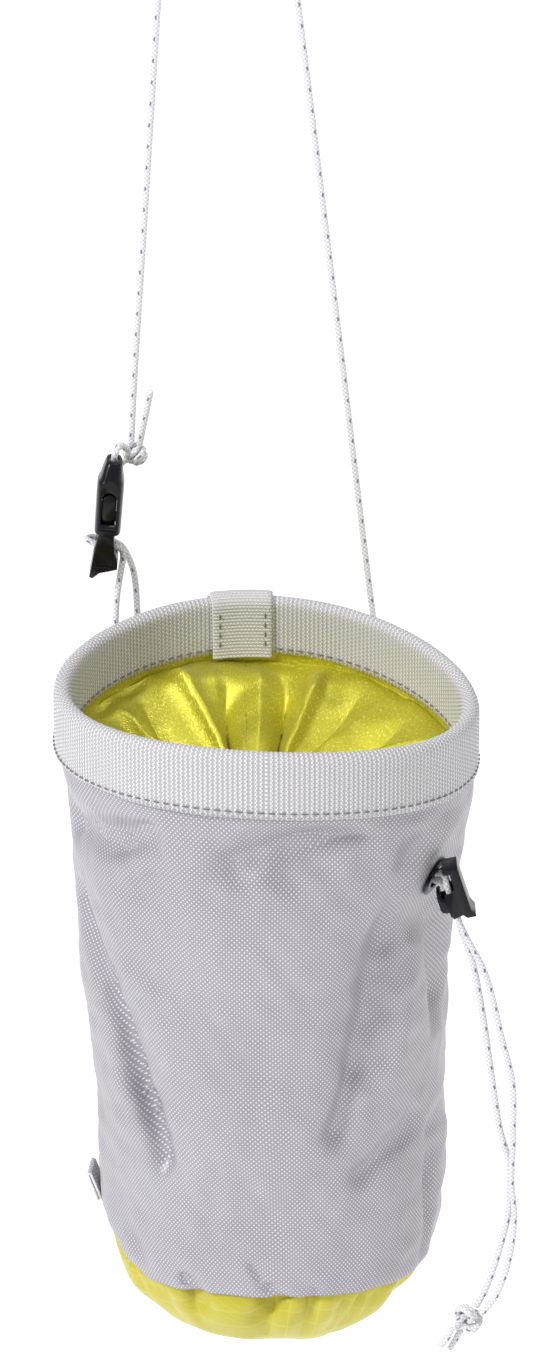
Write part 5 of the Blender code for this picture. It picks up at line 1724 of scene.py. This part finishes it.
def build_plug():
    """The clip's plug: its grip with the cord's eye, and the two prongs inside the socket."""
    half_depth = SOCKET_HALF_DEPTH - SOCKET_WALL - GAP
    plug = extruded("clip_plug_moulded", PLUG_OUTLINE, half_depth, CLIP_CENTRE, -CLIP_LEAN)
    for name, side in (("prong_front", -1), ("prong_back", 1)):
        boolean(plug, prong(name, side), "UNION")
    low = (-0.0026, -0.0080, -0.0108)
    high = (0.0024, -0.0046, -0.0062)
    panel = box("plug_panel", low, high, CLIP_CENTRE, -CLIP_LEAN)
    eye_ends = ((-0.0060, 0.0015, -0.0053), (0.0060, 0.0015, -0.0074))
    start, end = leaned(eye_ends, CLIP_CENTRE, -CLIP_LEAN)
    eye = rod("plug_eye", start, end, EYE_RADIUS, sides=28)
    boolean(plug, panel)
    boolean(plug, eye)
    finished(moulded(plug, 0.00025, 2), plastic, replaces=("clip_plug",))


def build_sleeve():
    """Webbing sleeve on the back, ribbed along the cord's channel, and its two lines of stitches."""
    columns = 90
    inner_step = 4
    profile = np.array(SLEEVE_PROFILE)
    fine = np.linspace(0, 1, 61)
    lift = np.interp(fine, profile[:, 0], smooth_step(profile[:, 1]))
    azimuth = SLEEVE_AZIMUTH + SLEEVE_HALF_ANGLE * np.linspace(-1, 1, columns)
    section = SLEEVE_TOP_SECTION + (SLEEVE_FOOT_SECTION - SLEEVE_TOP_SECTION) * fine
    azimuths = np.broadcast_to(azimuth[None, :], (len(fine), columns))
    sections = np.broadcast_to(section[:, None], (len(fine), columns))
    offset = GAP + lift[:, None] * (SLEEVE_CHANNEL - GAP)
    ribs = RIB_HEIGHT * (0.5 + 0.5 * np.cos(2 * math.pi * fine * SLEEVE_RIBS))[:, None]
    points = bag_points(azimuths, sections)
    normals = bag_normals(azimuths, sections)
    near = points + normals * offset[..., None]
    far = points + normals * (offset + SLEEVE_WALL - RIB_HEIGHT + ribs)[..., None]
    grid = np.concatenate((far, thinned(near, inner_step)))
    lengths = np.concatenate((fine, thinned(fine, inner_step), fine[:1])) * SLEEVE_RIBS * RIB_PITCH
    turns = np.radians(np.append(azimuth, azimuth[-1])) * SHELL_RADIUS
    made = strip_piece("sleeve_webbing", grid, lengths[:, None], turns[None, :])
    finished(made, rim_paint, replaces=("belt_sleeve",))
    lines = []
    spots = np.linspace(azimuth[0] + 1, azimuth[-1] - 1, 90)
    for share in SLEEVE_STITCH_SHARES:
        at = SLEEVE_TOP_SECTION + (SLEEVE_FOOT_SECTION - SLEEVE_TOP_SECTION) * share
        line = bag_offset(spots, at, GAP + SLEEVE_WALL)
        outward = bag_normals(spots, at + 0 * spots)
        lines.append(stitches("sleeve_line", line, outward, *SEWN_STITCH))
    finished(joined("sleeve_stitches", lines), rim_thread)


def build_tab():
    """Folded webbing tab in the bottom's seam at the left."""
    columns = 29
    half = TAB_THICKNESS + TAB_SPLIT / 2
    split = TAB_SPLIT / 2
    crown = TAB_LENGTH - half
    outline = [(-half, 0.0), (-half, crown * 0.35), (-half, crown * 0.7)]
    outline += [(half * across, crown + half * up) for across, up in reversed(half_turn(12))]
    outline += [(half, crown * 0.7), (half, crown * 0.35), (half, 0.0), (split, 0.0)]
    outline += [(split * across, crown + split * up) for across, up in half_turn(6)]
    outline.append((-split, 0.0))
    outline = np.array(outline)
    depth = np.linspace(-TAB_WIDTH / 2, TAB_WIDTH / 2, columns)
    ribs = 0.5 + 0.5 * np.cos(2 * math.pi * depth / RIB_PITCH)
    shrink = 1 - (1 - ribs) * RIB_HEIGHT / half
    u = outline[:, 0][:, None] * shrink[None, :]
    w = outline[:, 1][:, None] + 0 * shrink[None, :]
    v = np.broadcast_to(depth[None, :], u.shape)
    foot = bag_offset(TAB_AZIMUTH, TAB_SECTION, half + 2 * GAP)[0]
    facing = Matrix.Rotation(math.radians(TAB_AZIMUTH - 270), 3, "Z")
    turn = facing @ Matrix.Rotation(math.radians(-TAB_LEAN), 3, "Y")
    grid = np.stack((u, v, w), -1) @ np.array(turn).T + foot
    along = run_lengths(outline)
    along = np.append(along, along[-1])[:, None]
    turns = np.append(depth, depth[-1])[None, :]
    made = strip_piece("tab_webbing", grid, turns, along)
    finished(made, rim_paint, replaces=("loop_tab",))


def smooth_route(route):
    """Close points on one smooth curve through the route's points."""
    steps = 24
    points = [np.array(point, float) for point in route]
    ends = [2 * points[0] - points[1]] + points + [2 * points[-1] - points[-2]]
    close = []
    for index in range(1, len(ends) - 2):
        a, b, c, d = ends[index - 1:index + 3]
        span_ab = max(np.linalg.norm(b - a), 1e-6) ** 0.5
        span_bc = max(np.linalg.norm(c - b), 1e-6) ** 0.5
        span_cd = max(np.linalg.norm(d - c), 1e-6) ** 0.5
        slope_b = (b - a) / span_ab - (c - a) / (span_ab + span_bc) + (c - b) / span_bc
        slope_c = (c - b) / span_bc - (d - b) / (span_bc + span_cd) + (d - c) / span_cd
        for step in range(steps):
            t = step / steps
            close.append(
                b * (1 + 2 * t) * (1 - t) ** 2
                + slope_b * span_bc * t * (1 - t) ** 2
                + c * t * t * (3 - 2 * t)
                - slope_c * span_bc * t * t * (1 - t)
            )
    close.append(points[-1])
    return np.array(close)


def even_points(close, step):
    """Points evenly spaced along a line, and its length."""
    place = run_lengths(close)
    count = max(3, round(place[-1] / step) + 1)
    wanted = np.linspace(0, place[-1], count)
    return np.stack([np.interp(wanted, place, close[:, axis]) for axis in range(3)], -1), place[-1]


def tube_frames(points):
    """Two directions across a line at each point, turning as little as they can."""
    along = np.gradient(points, axis=0)
    along = along / np.linalg.norm(along, axis=1)[:, None]
    side = np.cross(along[0], (0.0, 1.0, 0.1))
    side = side / np.linalg.norm(side)
    sides = []
    for direction in along:
        side = side - direction * side.dot(direction)
        side = side / np.linalg.norm(side)
        sides.append(side)
    sides = np.array(sides)
    return sides, np.cross(along, sides)


def braided_tube(name, close, radius=CORD_RADIUS, ends=True):
    """A cord's mesh with the braid's low relief, along close points."""
    points, length = even_points(close, BRAID_STEP)
    side, other = tube_frames(points)
    rows = len(points)
    angle = np.linspace(0, 2 * math.pi, BRAID_SIDES, endpoint=False)[None, :]
    place = np.linspace(0, length, rows)[:, None]
    phase = 2 * math.pi * place / (4 * BRAID_PITCH)
    lobes = np.sin(BRAID_LOBES * angle / 2 + phase * 2) * np.sin(BRAID_LOBES * angle / 2 - phase * 2)
    width = radius * (1 - BRAID_HEIGHT + BRAID_HEIGHT * lobes)
    if ends:
        width[0] *= BRAID_END
        width[-1] *= BRAID_END
    grid = (
        points[:, None, :]
        + side[:, None, :] * (np.cos(angle) * width)[..., None]
        + other[:, None, :] * (np.sin(angle) * width)[..., None]
    )
    faces, places = capped_faces(rows, BRAID_SIDES)
    around = np.broadcast_to(np.linspace(0, 1, BRAID_SIDES + 1), (rows + 1, BRAID_SIDES + 1))
    along = np.broadcast_to(np.append(place, place[-1])[:, None], (rows + 1, BRAID_SIDES + 1))
    cap_lengths = np.zeros((2 * BRAID_SIDES, 2)) + (0.4, 0.003)
    lengths = np.concatenate((corner_lengths(around, along, places), cap_lengths))
    made = mesh_object(name, grid.reshape(-1, 3), faces, lengths)
    path, _ = even_points(close, CORD_PATH_STEP)
    return made, (path - HANG_POINT).tolist(), length


def knot_turn(lean, tilt):
    """The turn of a knot's own axes."""
    return np.array(Matrix.Rotation(math.radians(lean), 3, "Y") @ Matrix.Rotation(math.radians(tilt), 3, "X"))


def overhand(centre, scale, turn):
    """Points of an overhand knot's closed line, drawn up tight."""
    t = np.linspace(0, 2 * math.pi, 240)
    points = np.stack((
        (np.sin(t) + 2 * np.sin(2 * t)) * DRAW_KNOT_SIZE[0] * scale,
        -np.sin(3 * t) * DRAW_KNOT_RISE,
        (np.cos(t) - 2 * np.cos(2 * t)) * DRAW_KNOT_SIZE[1] * scale,
    ), -1)
    return centre + points @ turn.T


def build_waist_knot():
    """The cord wound over itself in a tight ball, its turns side by side."""
    share = np.linspace(0, 1, 260)
    polar = math.pi * (0.14 + 0.74 * share)
    around = 2 * math.pi * WAIST_KNOT_TURNS * share
    points = np.stack((
        WAIST_KNOT_REACH[0] * np.sin(polar) * np.cos(around),
        WAIST_KNOT_REACH[1] * np.sin(polar) * np.sin(around),
        WAIST_KNOT_REACH[2] * np.cos(polar),
    ), -1)
    turn = knot_turn(WAIST_KNOT_LEAN, WAIST_KNOT_TILT)
    line = WAIST_KNOT + WAIST_KNOT_SHIFT + points @ turn.T
    made, _, _ = braided_tube("waist_knot_braid", line)
    return finished(made, braid, replaces=("waist_knot",))


def build_draw_knot():
    """Both strands tied in one knot: two lines side by side."""
    turn = knot_turn(DRAW_KNOT_LEAN, DRAW_KNOT_TILT)
    pieces = []
    for shift, scale in DRAW_KNOT_STRANDS:
        spot = lock_centre() + DRAW_KNOT + np.array((shift * 0.6, shift, 0.0))
        line = overhand(spot, scale, turn)
        made, _, _ = braided_tube("draw_knot_strand", line, CORD_RADIUS * 0.97, ends=False)
        pieces.append(made)
    return finished(joined("draw_knot_braid", pieces), braid, replaces=("draw_knot",))


def sleeve_point(azimuth, section):
    return bag_offset(azimuth, section, GAP + CORD_RADIUS)[0]


def strand_pair(route, start_side):
    """Two lines side by side, one cord apart, that turn with the route between them."""
    close = smooth_route(route)[::6]
    side = np.asarray(start_side, float)
    near = []
    far = []
    for index, point in enumerate(close):
        ahead = close[min(index + 1, len(close) - 1)] - close[max(index - 1, 0)]
        along = ahead / np.linalg.norm(ahead)
        side = side - along * side.dot(along)
        side = side / np.linalg.norm(side)
        near.append(point - side * CORD_PAIR / 2)
        far.append(point + side * CORD_PAIR / 2)
    return near, far, side


def draw_loop_route():
    """From the lock through the eyelet, round the hem and back, the two strands side by side."""
    axis = eyelet_axis()
    centre = eyelet_centre()
    neck = np.array((NECK_X, NECK_Y, -DRAW_INNER_DROP))
    ring_radius = NECK_RADIUS + LINING_WALL / 2 + 3 * GAP + CORD_RADIUS
    heading = math.atan2(centre[0] - neck[0], neck[1] - centre[1])
    away = np.array((math.sin(heading), -math.cos(heading), 0))
    base = list(from_lock(DRAW_LEAD_ROUTE))
    base += [centre + axis * 0.0010, centre - axis * 0.0035, centre - axis * 0.0100]
    base += [neck + away * 0.032, neck + away * 0.024]
    near, far, side = strand_pair(base, (0.0, 1.0, 0.0))
    if side.dot(np.array((math.cos(heading), math.sin(heading), 0))) < 0:
        near, far = far, near
    ring = []
    for degrees in range(50, 311, 20):
        angle = heading + math.radians(degrees)
        ring.append(neck + np.array((math.sin(angle), -math.cos(angle), 0)) * ring_radius)
    return far + ring + list(reversed(near))


def tucked_ends(route, knot, share):
    """A route whose two ends go on into a knot, by a share of the way to its middle."""
    route = [np.array(point) for point in route]
    first = route[0] + (knot - route[0]) * share
    final = route[-1] + (knot - route[-1]) * share
    return [first] + route + [final]


def build_cords():
    """Every stretch of cord, each with its path and length."""
    right_end = SLEEVE_AZIMUTH - SLEEVE_HALF_ANGLE
    left_end = SLEEVE_AZIMUTH + SLEEVE_HALF_ANGLE
    upper = SLEEVE_UPPER_SECTION
    lower = SLEEVE_LOWER_SECTION
    into_right = [sleeve_point(right_end + turn, upper) for turn in (1.0, SLEEVE_REACH)]
    out_left = [sleeve_point(left_end - turn, lower) for turn in (SLEEVE_REACH, 1.0)]
    back_left = [sleeve_point(left_end - turn, upper) for turn in (1.0, SLEEVE_REACH)]
    start = right_end + SLEEVE_REACH + SLEEVE_SPLIT
    end = left_end - SLEEVE_REACH - SLEEVE_SPLIT
    inside = [sleeve_point(start + (end - start) * step / 4, upper) for step in range(5)]
    rows = (
        ("waist", "waist_cord", list(WAIST_ROUTE) + into_right),
        ("sleeve", "sleeve_cord", inside),
        ("clip", "clip_cord", out_left + list(CLIP_ROUTE) + back_left),
        ("waist_eye", "waist_eye_cord", tucked_ends(WAIST_EYE_ROUTE, WAIST_KNOT, EYE_TUCK)),
        ("waist_tail", "waist_tail", WAIST_TAIL_ROUTE),
        ("draw_right", "draw_cord_right", from_lock(DRAW_RIGHT_ROUTE)),
        ("draw_left", "draw_cord_left", from_lock(DRAW_LEFT_ROUTE)),
        ("draw_tail_left", "draw_tail_left", from_lock(DRAW_TAIL_LEFT_ROUTE)),
        ("draw_tail_right", "draw_tail_right", from_lock(DRAW_TAIL_RIGHT_ROUTE)),
        ("draw_loop", "draw_loop", draw_loop_route()),
    )
    cords = {}
    for key, node, route in rows:
        made, path, length = braided_tube(key + "_braid", smooth_route(route))
        finished(made, braid, replaces=(node,))
        cords[key] = (made, path, length)
    return cords


def build_floor():
    mesh = bpy.data.meshes.new("floor")
    level = float(-HANG_POINT[2] - FLOOR_DROP)
    size = FLOOR_SIZE
    corners = [(-size, -size, level), (size, -size, level), (size, size, level), (-size, size, level)]
    mesh.from_pydata(corners, [], [(0, 1, 2, 3)])
    floor = bpy.data.objects.new("floor", mesh)
    bpy.context.scene.collection.objects.link(floor)
    paint = bpy.data.materials.new("floor_paint")
    paint.use_nodes = True
    inputs = paint.node_tree.nodes["Principled BSDF"].inputs
    inputs["Base Color"].default_value = FLOOR_COLOUR
    inputs["Roughness"].default_value = FLOOR_ROUGHNESS
    inputs["Emission Color"].default_value = WHITE
    inputs["Emission Strength"].default_value = FLOOR_GLOW
    floor.data.materials.append(paint)


def build_lights(target):
    world = bpy.data.worlds.new("studio")
    bpy.context.scene.world = world
    world.use_nodes = True
    background = world.node_tree.nodes["Background"]
    background.inputs["Color"].default_value = WHITE
    background.inputs["Strength"].default_value = WORLD_STRENGTH
    bpy.context.scene.view_settings.view_transform = "Standard"

    sun = bpy.data.lights.new("sun", "SUN")
    sun.energy = SUN_STRENGTH
    sun.angle = math.radians(SUN_SPREAD)
    sun_lamp = bpy.data.objects.new("sun", sun)
    sun_lamp.rotation_euler = Vector(SUN_FROM).to_track_quat("Z", "Y").to_euler()
    bpy.context.scene.collection.objects.link(sun_lamp)

    for name, place, width, power, colour in LIGHTS:
        light = bpy.data.lights.new(name, "AREA")
        light.shape = "SQUARE"
        light.size = width
        light.energy = power
        light.color = colour
        lamp = bpy.data.objects.new(name, light)
        lamp.location = target + Vector(place)
        lamp.rotation_euler = (target - lamp.location).to_track_quat("-Z", "Y").to_euler()
        bpy.context.scene.collection.objects.link(lamp)


def build_camera(target):
    data = bpy.data.cameras.new("camera")
    data.sensor_fit = "VERTICAL"
    data.sensor_height = SENSOR_HEIGHT
    data.lens = FOCAL_PX * SENSOR_HEIGHT / PHOTO_HEIGHT_PX
    data.clip_end = CAMERA_REACH
    camera = bpy.data.objects.new("camera", data)
    elevation = math.radians(CAMERA_ELEVATION)
    camera.location = target + Vector((0, -math.cos(elevation), math.sin(elevation))) * CAMERA_DISTANCE
    camera.rotation_euler = (target - camera.location).to_track_quat("-Z", "Y").to_euler()
    bpy.context.scene.collection.objects.link(camera)
    bpy.context.scene.camera = camera


def build_studio():
    """Pale floor, soft lights and the camera at the photograph's angle."""
    target = Vector(CAMERA_TARGET - HANG_POINT)
    build_floor()
    build_lights(target)
    build_camera(target)


grey_cloth = grey_dobby()
yellow_cloth = yellow_ripstop()
satin = yellow_satin()
# Each webbing's second colour is painted shade for the gaps between its ribs and picks.
rim_paint = webbing("rim_webbing_weave_and_painted_shade", "off_white_webbing", (0.90, 0.89, 0.91), (0.46, 0.45, 0.47))
patch_paint = webbing(
    "patch_webbing_weave_and_painted_shade",
    "grey_webbing",
    (0.92, 0.91, 0.91),
    (0.56, 0.55, 0.55),
    PATCH_RIB_PITCH,
)
braid = white_braid()
plastic = black_plastic()
rim_thread = thread("rim_thread_twist", "grey_webbing", (0.15, 0.15, 0.16))
yellow_thread = thread("yellow_thread_twist", "yellow_satin", (0.30, 0.29, 0.02))

build_shell()
build_bottom()
build_band()
build_patch()
build_stitches()
build_lining()
build_lining_seam()
build_hem()
build_eyelet()
build_lock()
build_socket()
build_plug()
build_sleeve()
build_tab()
all_cords = build_cords()
build_waist_knot()
build_draw_knot()
build_studio()
